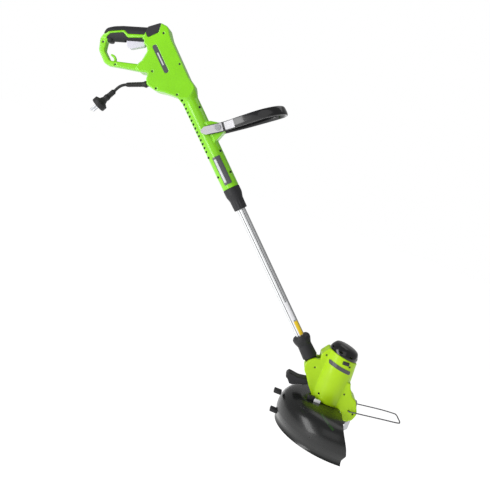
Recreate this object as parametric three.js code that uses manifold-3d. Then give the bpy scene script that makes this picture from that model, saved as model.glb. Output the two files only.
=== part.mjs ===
// String trimmer: a corded garden tool, built as an assembly of named pieces.
// Millimetres, +Z up, +X towards the cutting head, near side at -Y. The origin is the rear grip.
import * as THREE from 'three';
import { mergeVertices } from 'three/addons/utils/BufferGeometryUtils.js';
import Module from 'manifold-3d';

const wasm = await Module();
wasm.setup();

// ---------------------------------------------------------------- driving sizes
const GAP = 0.3; // clearance between touching pieces
const PITCH = THREE.MathUtils.degToRad(44); // shaft below horizontal in the working pose
const GRIP_TURN = THREE.MathUtils.degToRad(60); // grip above the shaft direction
const GRIP_DROP = 71; // grip centre below the shaft axis

// handle housing, along the shaft axis (x) and across it (z)
const BODY_HALF = 24;
const BODY_END = 214; // where the body has tapered into the tube
const LOOP_HALF = 11;
const GRIP_HALF_WIDTH = 16;
const GRIP_HALF_HEIGHT = 19;
const GRIP_REAR = -56;
const GRIP_FRONT = 62;
const WALL = 2.5;
const EDGE = 2; // bevel along the housing's edges
const PAD_DEPTH = 2;
const PAD_PROUD = 0.6; // how far the grip pads stand out
const TUBE_RADIUS = 21;
const TUBE_END = 451;
const TUBE_BORE = 17.8;

// telescopic shaft and its twist lock
const SHAFT_RADIUS = 11;
const SHAFT_WALL = 1.6;
const SHAFT_REAR = 262;
const SHAFT_TRAVEL = 90;
const NOSE_LENGTH = 32;
const NOSE_RADIUS = 17;
const COLLAR_LENGTH = 58;
const COLLAR_REAR_RADIUS = 21.2;
const COLLAR_FRONT_RADIUS = 16.9;

// neck and head pivot
const NECK_START = 862;
const NECK_RADIUS = 18;
const FLANGE_RADIUS = 23;
const PIVOT_ALONG = 951; // head pivot along the shaft axis
const PIVOT_BOSS = 27;
const TONGUE_HALF = 9;
const PIVOT_PIN_RADIUS = 4;

// front handle
const AUX_PIVOT = [306, 36]; // along and above the shaft axis
const AUX_INNER = TUBE_RADIUS + 0.8;
const AUX_THICK = 8;
const AUX_WIDTH = 23;
const AUX_BOLT_RADIUS = 4;

// head, from the pivot
const AXIS_X = 54; // motor and spool axis
const BARREL_RADIUS = 43;
const MOTOR_BORE = 37;
const HEAD_HALF = 22;
const LOBE_HALF = 31;
const CAP_TILT = THREE.MathUtils.degToRad(9.7);
const CAP_CENTRE = [54.5, 57];
const CAP_RADIUS = 38.3;
const CAP_SLOTS = 8;
const HEAD_FLOOR = -68;

// motor
const ROTOR_SHAFT_RADIUS = 4;
const STATOR_RADIUS = 30;
const ROTOR_RADIUS = 20;
const BEARING_RADIUS = 11;
const BEARING_WIDTH = 8;
const FAN_BLADES = 6;

// guard, spool and line
const GUARD_X = 96;
const GUARD_RADIUS = 150;
const GUARD_RIM = 142;
const GUARD_TOP = -70;
const GUARD_BOTTOM = -160;
const GUARD_WALL = 2.6;
const SPOOL_RADIUS = 42;
const SPOOL_TOP = -84;
const SPOOL_BOTTOM = -130;
const LINE_RADIUS = 1.2;
const LINE_REACH = 98;
const NEAR_EDGE = 100; // degrees from the rear
const FAR_EDGE = 120;

// wire edge guard
const WIRE_RADIUS = 1.6;
const WIRE_HALF = 34;
const WIRE_ROOT = [114, -66];

// plug and cord
const CORD_RADIUS = 3.5;
const SLEEVE_RADIUS = 6;
const PLUG_RADIUS = 18.5;

// ---------------------------------------------------------------- materials
const paint = (color, roughness, metalness = 0) =>
  new THREE.MeshStandardMaterial({ color, roughness, metalness });
const GREEN = paint(0x86d400, 0.42);
const LIME = paint(0xb0dc28, 0.4);
const BLACK = paint(0x151516, 0.35);
const SOFT = paint(0x1d1d20, 0.8);
const DARK = paint(0x3c3d40, 0.6);
const GREY = paint(0x6b6d72, 0.5);
const PALE = paint(0xc9c8d2, 0.5);
const STEEL = paint(0xb4b6ba, 0.3, 1);
const ALUMINIUM = paint(0xd0d2d6, 0.3, 1);
const BRASS = paint(0xb79a55, 0.35, 1);
const COPPER = paint(0xb06a3c, 0.4, 1);

// ---------------------------------------------------------------- solids
function toSolid(geometry) {
  const bare = geometry.clone();
  bare.deleteAttribute('normal');
  bare.deleteAttribute('uv');
  const merged = mergeVertices(bare, 1e-3);
  const vertProperties = new Float32Array(merged.attributes.position.array);
  const corners = Array.from(merged.index.array);
  const kept = [];
  for (let i = 0; i < corners.length; i += 3) {
    const [a, b, c] = corners.slice(i, i + 3);
    if (a !== b && b !== c && c !== a) kept.push(a, b, c);
  }
  const triVerts = new Uint32Array(kept);
  let solid = new wasm.Manifold(new wasm.Mesh({ numProp: 3, vertProperties, triVerts }));
  if (solid.volume() < 0) {
    for (let i = 0; i < triVerts.length; i += 3) {
      [triVerts[i], triVerts[i + 1]] = [triVerts[i + 1], triVerts[i]];
    }
    solid = new wasm.Manifold(new wasm.Mesh({ numProp: 3, vertProperties, triVerts }));
  }
  return solid;
}

function toGeometry(solid) {
  const mesh = solid.getMesh();
  const geometry = new THREE.BufferGeometry();
  geometry.setAttribute('position', new THREE.Float32BufferAttribute(mesh.vertProperties, 3));
  geometry.setIndex(Array.from(mesh.triVerts));
  return geometry;
}

const join = (...solids) => solids.reduce((whole, next) => whole.add(next));
const largest = (solid) => solid.decompose().reduce((a, b) => (a.volume() > b.volume() ? a : b));
const cut = (solid, ...tools) => tools.reduce((whole, tool) => whole.subtract(tool), solid);

// a closed path through corners [x, z, radius], each rounded by an arc
function roundedPath(corners, path) {
  const count = corners.length;
  corners.forEach(([x, z, radius = 0], i) => {
    const here = new THREE.Vector2(x, z);
    const before = new THREE.Vector2(...corners[(i + count - 1) % count].slice(0, 2)).sub(here);
    const after = new THREE.Vector2(...corners[(i + 1) % count].slice(0, 2)).sub(here);
    const half = Math.abs(before.angleTo(after)) / 2;
    const room = Math.min(before.length(), after.length()) * 0.48;
    const reach = Math.min(radius / Math.tan(half), room);
    const start = here.clone().add(before.setLength(reach));
    const end = here.clone().add(after.setLength(reach));
    if (i === 0) path.moveTo(start.x, start.y);
    else path.lineTo(start.x, start.y);
    if (reach > 0.01) path.quadraticCurveTo(x, z, end.x, end.y);
  });
  path.closePath();
  return path;
}

// an outline in the XZ plane, extruded along Y between two values, edges bevelled
function prism(corners, yFrom, yTo, { bevel = 0, hole = null, steps = 2 } = {}) {
  const shape = roundedPath(corners, new THREE.Shape());
  if (hole) shape.holes.push(roundedPath(hole, new THREE.Path()));
  const geometry = new THREE.ExtrudeGeometry(shape, {
    depth: yTo - yFrom - 2 * bevel,
    bevelEnabled: bevel > 0,
    bevelThickness: bevel,
    bevelSize: bevel,
    bevelOffset: -bevel,
    bevelSegments: 1,
    curveSegments: steps,
  });
  geometry.rotateX(Math.PI / 2);
  geometry.translate(0, yTo - bevel, 0);
  return toSolid(geometry);
}

// an outline with each corner moved away from its middle
function widen(outline, grow) {
  const middle = [0, 1].map((axis) =>
    outline.reduce((sum, corner) => sum + corner[axis], 0) / outline.length);
  return outline.map(([x, z, radius]) => [
    x + Math.sign(x - middle[0]) * grow, z + Math.sign(z - middle[1]) * grow, radius,
  ]);
}

function block(xFrom, xTo, yFrom, yTo, zFrom, zTo) {
  const geometry = new THREE.BoxGeometry(xTo - xFrom, yTo - yFrom, zTo - zFrom);
  geometry.translate((xFrom + xTo) / 2, (yFrom + yTo) / 2, (zFrom + zTo) / 2);
  return toSolid(geometry);
}

// a turned piece about Z through (x, y); profile is [radius, z], starting and ending on the axis
function turned(profile, { x = 0, y = 0, sides = 24 } = {}) {
  const points = profile.map(([radius, z]) => new THREE.Vector2(radius, z));
  const geometry = new THREE.LatheGeometry(points, sides);
  geometry.rotateX(Math.PI / 2);
  geometry.translate(x, y, 0);
  return toSolid(geometry);
}

// a turned piece about the X axis; profile is [radius, x]
function turnedX(profile, { sides = 24 } = {}) {
  const points = profile.map(([radius, x]) => new THREE.Vector2(radius, x));
  const geometry = new THREE.LatheGeometry(points, sides);
  geometry.rotateZ(-Math.PI / 2);
  return toSolid(geometry);
}

const rodProfile = (radius, from, to) => [[0, from], [radius, from], [radius, to], [0, to]];
const ringProfile = (outer, inner, from, to) =>
  [[inner, from], [outer, from], [outer, to], [inner, to], [inner, from]];

const rodX = (radius, from, to, options) => turnedX(rodProfile(radius, from, to), options);
const rodZ = (radius, from, to, options) => turned(rodProfile(radius, from, to), options);

function rodY(radius, x, z, from, to, sides = 16) {
  const geometry = new THREE.CylinderGeometry(radius, radius, to - from, sides);
  geometry.translate(x, (from + to) / 2, z);
  return toSolid(geometry);
}

// a section swept along a smooth path
function sweep(section, points, steps) {
  const curve = new THREE.CatmullRomCurve3(points.map((point) => new THREE.Vector3(...point)));
  return toSolid(new THREE.ExtrudeGeometry(section, { steps, extrudePath: curve, curveSegments: 3 }));
}

function ellipse(halfWide, halfTall, sides) {
  const shape = new THREE.Shape();
  for (let i = 0; i < sides; i += 1) {
    const angle = (2 * Math.PI * i) / sides;
    const point = [halfWide * Math.cos(angle), halfTall * Math.sin(angle)];
    if (i === 0) shape.moveTo(...point);
    else shape.lineTo(...point);
  }
  shape.closePath();
  return shape;
}

// a straight round piece from one point to another; profile is [radius, distance]
function turnedBetween(profile, from, to, sides = 24) {
  const points = profile.map(([radius, along]) => new THREE.Vector2(radius, along));
  const geometry = new THREE.LatheGeometry(points, sides);
  const direction = new THREE.Vector3(...to).sub(new THREE.Vector3(...from)).normalize();
  const turn = new THREE.Quaternion().setFromUnitVectors(new THREE.Vector3(0, 1, 0), direction);
  geometry.applyQuaternion(turn);
  geometry.translate(...from);
  return toSolid(geometry);
}

// ---------------------------------------------------------------- assembly groups
const trimmer = new THREE.Group();
const tool = new THREE.Group(); // X along the shaft, Z across it
tool.position.set(GRIP_DROP * Math.sin(PITCH), 0, GRIP_DROP * Math.cos(PITCH));
tool.rotation.y = PITCH;
const head = new THREE.Group(); // level, origin at the head pivot
head.position.set(
  tool.position.x + PIVOT_ALONG * Math.cos(PITCH),
  0,
  tool.position.z - PIVOT_ALONG * Math.sin(PITCH),
);
trimmer.add(tool, head);

function add(group, name, material, solid) {
  const mesh = new THREE.Mesh(toGeometry(solid), material);
  mesh.name = name;
  group.add(mesh);
  return mesh;
}

// the grip's own frame: X along the grip, Z across it, turned into the tool frame
const gripMatrix = new THREE.Matrix4()
  .makeTranslation(0, 0, -GRIP_DROP)
  .multiply(new THREE.Matrix4().makeRotationY(-GRIP_TURN));
const inGrip = (solid) => toSolid(toGeometry(solid).applyMatrix4(gripMatrix));

const NEAR_HALF = block(-900, 1900, -400, -GAP / 2, -900, 900);
const FAR_HALF = block(-900, 1900, GAP / 2, 400, -900, 900);

// ---------------------------------------------------------------- handle housing
const BODY_OUTLINE = [
  [14, -14, 3], [20, 18, 6], [36, 30, 9], [62, 24.5, 20], [166, TUBE_RADIUS + 2, 10],
  [188, TUBE_RADIUS + 6, 8], [BODY_END, TUBE_RADIUS, 4],
  [BODY_END, -TUBE_RADIUS, 5], [196, -TUBE_RADIUS - 2, 12], [172, -47, 18], [157, -66, 12],
  [136, -78, 6], [122, -73, 5], [112, -62, 5], [99, -82, 6], [86, -86, 4], [80, -72, 4], [79, -64, 6], [65, -41, 8],
  [53, -38, 6], [36, -44, 4],
];
const LOOP_OUTLINE = [
  [72, 14, 4], [8, 19.5, 30], [-22, 16, 16], [-47, 8, 14], [-65, -14, 14], [-67, -44, 12],
  [-52, -73, 9], [-42, -79, 8], [-7, -82.5, 20], [30, -87, 8], [66, -92, 4], [72, -40, 4],
];
const LOOP_HOLE = [
  [-38, -18, 5], [-48, -22, 5], [-52, -43, 8], [-38, -67, 8], [36, -71, 6], [46, -66, 5],
  [58, -42, 7], [50, -18, 5],
];

// the grip's side view: level under the fingers, arching down to the loop at its rear
const GRIP_PROFILE = [
  [-56, -30, 0], [-56, -8, 6], [-47, 8.5, 14], [-30, 14.5, 16], [-6, 18.5, 20], [14, 24, 4],
  [70, 24, 0], [70, -30, 0],
];

function gripBar(grow) {
  const geometry = new THREE.ExtrudeGeometry(
    ellipse(GRIP_HALF_HEIGHT + grow, GRIP_HALF_WIDTH + grow, 20),
    { depth: GRIP_FRONT - GRIP_REAR, bevelEnabled: false },
  );
  geometry.rotateY(Math.PI / 2);
  geometry.translate(GRIP_REAR, 0, 0);
  return toSolid(geometry).intersect(prism(widen(GRIP_PROFILE, grow), -60, 60, { steps: 3 }));
}

function auxBoss(grow) {
  const [along, up] = AUX_PIVOT;
  return prism([
    [along - 28, 12, 0], [along - 24, 26, 4], [along - 8, up + 11 + grow, 6],
    [along + 14, up + 11 + grow, 6], [along + 28, 12, 0],
  ], -(AUX_INNER - 1), AUX_INNER - 1, { bevel: 2 });
}

function cordHook() {
  const outline = [
    [-30, -73, 0], [-29, -63, 3], [-33, -57, 3], [-39, -54, 2], [-37, -49, 2], [-29, -52, 5],
    [-24, -59, 5], [-23, -73, 0],
  ];
  return prism(outline, -4, 4);
}

const loopPlate = prism(LOOP_OUTLINE, -LOOP_HALF, LOOP_HALF, { bevel: EDGE, hole: LOOP_HOLE });
const gripOuter = gripBar(0);
const loopAndGrip = inGrip(join(loopPlate, gripOuter, cordHook()));
// the cone that rounds the body off into the tube
const bodyTaper = turnedX([
  [0, -200], [170, -200], [170, 120], [78, 157], [58, 172], [36, 192], [TUBE_RADIUS + 4, 206],
  [TUBE_RADIUS, BODY_END + 2], [0, BODY_END + 2],
], { sides: 32 });
const bodyBlock = prism(BODY_OUTLINE, -BODY_HALF, BODY_HALF, { bevel: EDGE }).intersect(bodyTaper);
const tubeOuter = turnedX([
  [0, 120], [12, 120], [TUBE_RADIUS, 190], [TUBE_RADIUS, TUBE_END - GAP],
  [NOSE_RADIUS, TUBE_END - GAP], [NOSE_RADIUS, TUBE_END + NOSE_LENGTH], [0, TUBE_END + NOSE_LENGTH],
], { sides: 24 });
const boss = auxBoss(0);
const housingOuter = join(loopAndGrip, bodyBlock, tubeOuter, boss);

// hollow: grip channel, body chamber, sliding bore and the nose bore
const GRIP_CHANNEL = 10;
const gripChannel = inGrip(join(
  block(-4, 60, -GRIP_CHANNEL, GRIP_CHANNEL, -13, 13), block(-38, 0, -GRIP_CHANNEL, GRIP_CHANNEL, -13, 4),
));
const bodyChamber = prism([
  [30, -28, 4], [34, 20, 6], [60, 15, 8], [150, 10, 4], [150, -48, 6], [134, -66, 6],
  [118, -56, 6], [96, -68, 6], [84, -60, 6], [70, -34, 6],
], -(BODY_HALF - WALL), BODY_HALF - WALL);
const BORE_START = SHAFT_REAR - SHAFT_TRAVEL - 24;
const BORE_LEAD = 30;
const COLLET_RADIUS = 14;
const slideBore = turnedX([
  [0, BORE_START - BORE_LEAD], [10, BORE_START - BORE_LEAD], [TUBE_BORE, BORE_START],
  [TUBE_BORE, TUBE_END - 9], [COLLET_RADIUS + GAP, TUBE_END - 6],
  [COLLET_RADIUS + GAP, TUBE_END + NOSE_LENGTH + 5], [0, TUBE_END + NOSE_LENGTH + 5],
]);

// cord exit: the sleeve leaves the housing down and back
const CORD_EXIT = [131, 0, -77];
const SLEEVE_END = [107.5, 0, -127.6];
const exitDirection = new THREE.Vector3(...SLEEVE_END).sub(new THREE.Vector3(...CORD_EXIT)).normalize();
const alongExit = (distance) => exitDirection.clone().multiplyScalar(distance)
  .add(new THREE.Vector3(...CORD_EXIT)).toArray();
const SLEEVE_LENGTH = 56;
const SLEEVE_ROOT = 12;
const COLLAR_LIP = 9;
const sleeveHole = turnedBetween([[0, 0], [SLEEVE_RADIUS + GAP, 0], [SLEEVE_RADIUS + GAP, 30], [0, 30]],
  alongExit(-18), alongExit(0), 16);

// trigger slot through the underside of the grip
const TRIGGER_HALF = 7;
const TRIGGER_PIVOT = [55, -12];
const TRIGGER_PIN_RADIUS = 2;
const triggerSlot = inGrip(block(-4, 60, -(TRIGGER_HALF + 0.6), TRIGGER_HALF + 0.6, -24, -8));

// pads: soft skins let into the grip and the body
const TOP_PAD = [
  [-54, -6, 2], [-41, 2, 3], [-4, 7, 4], [6, -2, 4], [58, -1, 2], [58, 40, 0], [-54, 40, 0],
];
const UNDER_PAD = [
  [-48, -40, 0], [-48, -12, 4], [-38, -3, 4], [-6, 1, 4], [5, -11, 4], [51, -8, 2], [51, -40, 0],
];
const FRONT_PAD = [[8, -24, 3], [12, 17, 3], [24, 17, 4], [38, 3, 4], [37, -26, 4]];

function gripSkin(outline, grow) {
  const core = gripBar(-PAD_DEPTH - grow);
  return cut(gripBar(grow + PAD_PROUD).intersect(prism(outline, -60, 60)), core);
}

const topPadSeat = inGrip(gripSkin(widen(TOP_PAD, GAP), GAP));
const underPadSeat = inGrip(gripSkin(widen(UNDER_PAD, GAP), GAP));
const bodyCore = prism(BODY_OUTLINE, -(BODY_HALF - PAD_DEPTH), BODY_HALF - PAD_DEPTH, { bevel: EDGE });
const bodyCoreIn = toSolid(toGeometry(bodyCore).translate(PAD_DEPTH, 0, -1));
const frontPad = largest(
  cut(bodyBlock.intersect(prism(FRONT_PAD, -60, 60)), bodyCoreIn, inGrip(gripBar(GAP + PAD_PROUD)), inGrip(
    prism(LOOP_OUTLINE, -LOOP_HALF - GAP, LOOP_HALF + GAP),
  )),
);
// a solid with its clearance: the same shape shifted both ways along each axis
const withClearance = (solid) => join(...[[GAP, 0, 0], [0, GAP, 0], [0, 0, GAP]].flatMap(
  ([x, y, z]) => [solid.translate([x, y, z]), solid.translate([-x, -y, -z])],
));
const frontPadSeat = withClearance(frontPad);

// badge recess on each side of the body
const BADGE = { from: 60, to: 133, z: -20, half: 5.5, depth: 1.2 };
function badgeBar(side, grow) {
  const outline = [
    [BADGE.from - grow, BADGE.z - BADGE.half - grow, 4], [BADGE.to + grow, BADGE.z - BADGE.half - grow, 4],
    [BADGE.to + grow, BADGE.z + BADGE.half + grow, 4], [BADGE.from - grow, BADGE.z + BADGE.half + grow, 4],
  ];
  const inner = BODY_HALF - BADGE.depth - grow;
  return side < 0 ? prism(outline, -BODY_HALF - grow, -inner) : prism(outline, inner, BODY_HALF + grow);
}

// air slots along the lower edge of the tube
const VENT = { from: 207, pitch: 10.6, count: 14, half: 2.2, low: -19, high: -13.5 };
function ventCuts() {
  return Array.from({ length: VENT.count }, (_, i) => {
    const x = VENT.from + i * VENT.pitch;
    return block(x - VENT.half, x + VENT.half, -30, 30, VENT.low, VENT.high);
  });
}

// cord clamp seat: two ribs carry the clamp inside the body
const CLAMP = { x: 122, z: -40, length: 20, half: 12, tall: 9 };
const SWITCH = { from: 2, to: 38, half: 8, low: 5, high: 12.6 };

const boltHole = rodY(AUX_BOLT_RADIUS + GAP, ...AUX_PIVOT, -60, 60);
const triggerPinHole = inGrip(rodY(TRIGGER_PIN_RADIUS + GAP, ...TRIGGER_PIVOT, -13, 13, 12));
const housing = cut(
  housingOuter, gripChannel, bodyChamber, slideBore, sleeveHole, triggerSlot, topPadSeat,
  underPadSeat, frontPadSeat, badgeBar(-1, GAP), badgeBar(1, GAP), boltHole, triggerPinHole,
  ...ventCuts(),
);
add(tool, 'housing_left', GREEN, largest(housing.intersect(NEAR_HALF)));
add(tool, 'housing_right', GREEN, largest(housing.intersect(FAR_HALF)));

add(tool, 'grip_top_pad', SOFT, largest(inGrip(gripSkin(TOP_PAD, 0))));
add(tool, 'grip_under_pad', SOFT, largest(cut(inGrip(gripSkin(UNDER_PAD, 0)), triggerSlot)));
add(tool, 'front_pad', SOFT, frontPad);
add(tool, 'badge_strip_left', GREY, badgeBar(-1, 0));
add(tool, 'badge_strip_right', GREY, badgeBar(1, 0));

// ---------------------------------------------------------------- trigger and switch
const triggerBody = prism([
  [-1, -7, 2], [50, -7, 2], [60, -8, 2], [60, -17, 3], [49, -22, 3], [47, -28, 4], [12, -36, 5],
  [2, -30, 5],
], -TRIGGER_HALF, TRIGGER_HALF, { bevel: 1.5 });
add(tool, 'trigger', PALE, inGrip(
  cut(triggerBody, rodY(TRIGGER_PIN_RADIUS + GAP, ...TRIGGER_PIVOT, -20, 20, 12)),
));
add(tool, 'trigger_pin', STEEL, inGrip(rodY(TRIGGER_PIN_RADIUS, ...TRIGGER_PIVOT, -12.6, 12.6, 12)));

const PLUNGER_X = 20;
const switchBody = cut(
  block(SWITCH.from, SWITCH.to, -SWITCH.half, SWITCH.half, SWITCH.low, SWITCH.high),
  rodZ(3.4, SWITCH.low - 1, SWITCH.high - 1.2, { x: PLUNGER_X, sides: 16 }),
);
add(tool, 'switch_body', BLACK, inGrip(switchBody));
add(tool, 'switch_plunger', PALE, inGrip(rodZ(3, -6.4, 6.6, { x: PLUNGER_X, sides: 16 })));

// return spring: a coil between the trigger's heel and the grip's roof
function coil(radius, wire, turns, zFrom, zTo, x) {
  const points = [];
  const perTurn = 6;
  const count = Math.round(turns * perTurn);
  for (let i = 0; i <= count; i += 1) {
    const angle = (2 * Math.PI * i) / perTurn;
    const z = zFrom + ((zTo - zFrom) * i) / count;
    points.push([x + radius * Math.cos(angle), radius * Math.sin(angle), z]);
  }
  return sweep(ellipse(wire, wire, 4), points, count);
}

const SPRING_WIRE = 0.5;
add(tool, 'trigger_spring', STEEL, inGrip(
  coil(2.6, SPRING_WIRE, 4, -7 + GAP + SPRING_WIRE, 10, 45),
));

// ---------------------------------------------------------------- cord, sleeve and plug
add(tool, 'cord_clamp', DARK, cut(
  block(CLAMP.x - CLAMP.length / 2, CLAMP.x + CLAMP.length / 2, -(BODY_HALF - WALL - GAP),
    BODY_HALF - WALL - GAP, CLAMP.z - CLAMP.tall / 2, CLAMP.z + CLAMP.tall / 2),
  rodZ(CORD_RADIUS + GAP, CLAMP.z - 20, CLAMP.z + 20, { x: CLAMP.x, sides: 16 }),
));
add(tool, 'strain_relief', BLACK, turnedBetween([
  [0, 0], [SLEEVE_RADIUS, 0], [SLEEVE_RADIUS, SLEEVE_ROOT + 3], [COLLAR_LIP - 0.5, SLEEVE_ROOT + 4],
  [COLLAR_LIP - 1, SLEEVE_ROOT + 9], [SLEEVE_RADIUS + 0.3, SLEEVE_ROOT + 12],
  [SLEEVE_RADIUS, SLEEVE_ROOT + SLEEVE_LENGTH - 3], [5, SLEEVE_ROOT + SLEEVE_LENGTH],
  [0, SLEEVE_ROOT + SLEEVE_LENGTH],
], alongExit(-SLEEVE_ROOT), SLEEVE_END, 16));

// the cord's route from the sleeve's tip to the plug's neck, chosen by hand
const CORD_ROUTE = [
  [107.3, 0, -128.0], [106.35, 0, -130.2], [105.6, 0, -132.4], [105.0, 0, -134.6],
  [104.5, 0, -136.8], [104.15, 0, -139.0], [103.95, 0, -141.2], [103.9, 0, -143.4],
  [104.05, 0, -145.6], [104.3, 0, -147.8], [104.7, 0, -150.0], [105.15, 0, -152.2],
  [105.7, 0, -154.4], [106.4, 0, -156.6], [107.05, 0, -158.8], [107.7, 0, -161.0],
];
add(tool, 'power_cord', BLACK, sweep(ellipse(CORD_RADIUS, CORD_RADIUS, 10), CORD_ROUTE, 8));

const PLUG_NECK = [107.8, 0, -161.3];
const PLUG_FACE = [121, 0, -218];
const PLUG_LENGTH = 57;
const plugBody = turnedBetween([
  [0, 0], [5.5, 0], [6.5, 4], [7.5, 20], [8.5, 22], [9, 34], [11, 40], [PLUG_RADIUS - 1, 43],
  [PLUG_RADIUS, 45], [PLUG_RADIUS, PLUG_LENGTH - 1.5], [PLUG_RADIUS - 1.5, PLUG_LENGTH], [0, PLUG_LENGTH],
], PLUG_NECK, PLUG_FACE, 20);
add(tool, 'plug_body', BLACK, plugBody);
const plugDirection = new THREE.Vector3(...PLUG_FACE).sub(new THREE.Vector3(...PLUG_NECK)).normalize();
const pinStart = plugDirection.clone().multiplyScalar(PLUG_LENGTH + GAP).add(new THREE.Vector3(...PLUG_NECK));
const pinEnd = pinStart.clone().add(plugDirection);
const PLUG_PIN = { radius: 2.4, length: 19, offset: 9.5 };
const pinProfile = [
  [0, 0], [PLUG_PIN.radius, 0], [PLUG_PIN.radius, PLUG_PIN.length - 2],
  [PLUG_PIN.radius - 1, PLUG_PIN.length], [0, PLUG_PIN.length],
];
[['plug_pin_left', -PLUG_PIN.offset], ['plug_pin_right', PLUG_PIN.offset]].forEach(([name, y]) => {
  const from = [pinStart.x, y, pinStart.z];
  const to = [pinEnd.x, y, pinEnd.z];
  add(tool, name, STEEL, turnedBetween(pinProfile, from, to, 14));
});

// ---------------------------------------------------------------- front handle
function auxHandle() {
  const side = AUX_INNER + AUX_THICK / 2;
  const near = [
    [297, -side, -6], [302, -side, 16], [308, -side, 40], [313, -side - 5, 66], [319, -side - 16, 102],
    [326, -side - 22, 144], [333, -side - 14, 178], [337.5, -24, 195], [339, 0, 200],
  ];
  const far = near.slice(0, -1).reverse().map(([x, y, z]) => [x, -y, z]);
  const loop = sweep(ellipse(AUX_THICK / 2, AUX_WIDTH / 2, 10), [...near, ...far], 30);
  return cut(loop, boltHole);
}
add(tool, 'front_handle', BLACK, auxHandle());
const AUX_OUTER = AUX_INNER + AUX_THICK;
add(tool, 'front_handle_bolt', STEEL, join(
  rodY(AUX_BOLT_RADIUS, ...AUX_PIVOT, -AUX_OUTER - 1, AUX_OUTER + 1, 20),
  rodY(AUX_BOLT_RADIUS + 3, ...AUX_PIVOT, -AUX_OUTER - 4, -AUX_OUTER - 2 * GAP, 20),
));

// ---------------------------------------------------------------- rating label
const LABEL = { from: 366, to: 440, low: -12, high: 8 };
add(tool, 'rating_label', GREY, cut(
  rodX(TUBE_RADIUS + GAP + 0.8, LABEL.from, LABEL.to, { sides: 36 })
    .intersect(block(LABEL.from, LABEL.to, -40, -10, LABEL.low, LABEL.high)),
  rodX(TUBE_RADIUS + GAP, 300, 500, { sides: 36 }),
));

// ---------------------------------------------------------------- shaft and twist lock
const COLLAR_END = TUBE_END + COLLAR_LENGTH;
const COLLET_END = COLLAR_END - 7;
const collar = turnedX([
  [SHAFT_RADIUS + 0.8, COLLAR_END], [COLLAR_FRONT_RADIUS - 1.5, COLLAR_END],
  [COLLAR_FRONT_RADIUS, COLLAR_END - 2], [COLLAR_FRONT_RADIUS + 0.6, TUBE_END + 30],
  [COLLAR_REAR_RADIUS - 0.4, TUBE_END + 20], [COLLAR_REAR_RADIUS, TUBE_END + 18],
  [COLLAR_REAR_RADIUS, TUBE_END], [NOSE_RADIUS + GAP, TUBE_END],
  [NOSE_RADIUS + GAP, TUBE_END + NOSE_LENGTH + 1], [COLLET_RADIUS + GAP, TUBE_END + NOSE_LENGTH + 1],
  [COLLET_RADIUS + GAP, COLLET_END + GAP], [SHAFT_RADIUS + 0.8, COLLET_END + GAP],
  [SHAFT_RADIUS + 0.8, COLLAR_END],
], { sides: 24 });
add(tool, 'lock_collar', DARK, collar);
add(tool, 'collet', PALE, turnedX([
  [SHAFT_RADIUS + GAP, TUBE_END - 5], [COLLET_RADIUS, TUBE_END - 5], [COLLET_RADIUS, COLLET_END],
  [SHAFT_RADIUS + GAP, COLLET_END], [SHAFT_RADIUS + GAP, TUBE_END - 5],
], { sides: 20 }));

const SHAFT_FRONT = 905;
const CABLE_RADIUS = 3;
const FLUTES = 12;
function shaftSection() {
  const shape = new THREE.Shape();
  const sides = FLUTES * 4;
  for (let i = 0; i < sides; i += 1) {
    const angle = (2 * Math.PI * i) / sides;
    const radius = SHAFT_RADIUS - 0.3 + 0.3 * Math.cos(FLUTES * angle);
    if (i === 0) shape.moveTo(radius * Math.cos(angle), radius * Math.sin(angle));
    else shape.lineTo(radius * Math.cos(angle), radius * Math.sin(angle));
  }
  shape.closePath();
  const bore = new THREE.Path();
  bore.absarc(0, 0, SHAFT_RADIUS - SHAFT_WALL, 0, 2 * Math.PI, true);
  shape.holes.push(bore);
  return shape;
}
const shaftGeometry = new THREE.ExtrudeGeometry(shaftSection(), {
  depth: SHAFT_FRONT - SHAFT_REAR, bevelEnabled: false, curveSegments: 12,
});
shaftGeometry.rotateY(Math.PI / 2);
shaftGeometry.translate(SHAFT_REAR, 0, 0);
add(tool, 'shaft', ALUMINIUM, toSolid(shaftGeometry));
add(tool, 'shaft_guide', DARK, turnedX(
  ringProfile(TUBE_BORE - GAP, SHAFT_RADIUS + GAP, SHAFT_REAR + 2, SHAFT_REAR + 26), { sides: 20 },
));
add(tool, 'inner_cable', BLACK, rodX(CABLE_RADIUS, SHAFT_REAR + 6, SHAFT_FRONT + 12, { sides: 10 }));

// ---------------------------------------------------------------- neck
const NECK_END = PIVOT_ALONG - PIVOT_BOSS - 2;
const neckOuter = turnedX([
  [0, NECK_START], [FLANGE_RADIUS - 4, NECK_START], [FLANGE_RADIUS, NECK_START + 5],
  [FLANGE_RADIUS, NECK_START + 12], [NECK_RADIUS, NECK_START + 26], [NECK_RADIUS + 1.5, NECK_END],
  [0, NECK_END],
], { sides: 20 });
const tongue = join(
  block(NECK_END - 6, PIVOT_ALONG, -TONGUE_HALF, TONGUE_HALF, -15, 15),
  rodY(15, PIVOT_ALONG, 0, -TONGUE_HALF, TONGUE_HALF, 20),
);
const NECK_SCREW = { along: NECK_START + 20, up: 14.6, radius: 2 };
const neck = cut(
  join(neckOuter, tongue),
  rodX(SHAFT_RADIUS + GAP, NECK_START - 5, SHAFT_FRONT + 6, { sides: 24 }),
  rodX(CABLE_RADIUS + GAP, SHAFT_FRONT, SHAFT_FRONT + 14, { sides: 10 }),
  rodY(PIVOT_PIN_RADIUS + GAP, PIVOT_ALONG, 0, -20, 20),
  rodY(NECK_SCREW.radius + GAP, NECK_SCREW.along, NECK_SCREW.up, -40, 40, 12),
);
add(tool, 'neck', DARK, neck);
add(tool, 'neck_screw', STEEL, rodY(NECK_SCREW.radius, NECK_SCREW.along, NECK_SCREW.up, -11, 11, 12));

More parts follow.
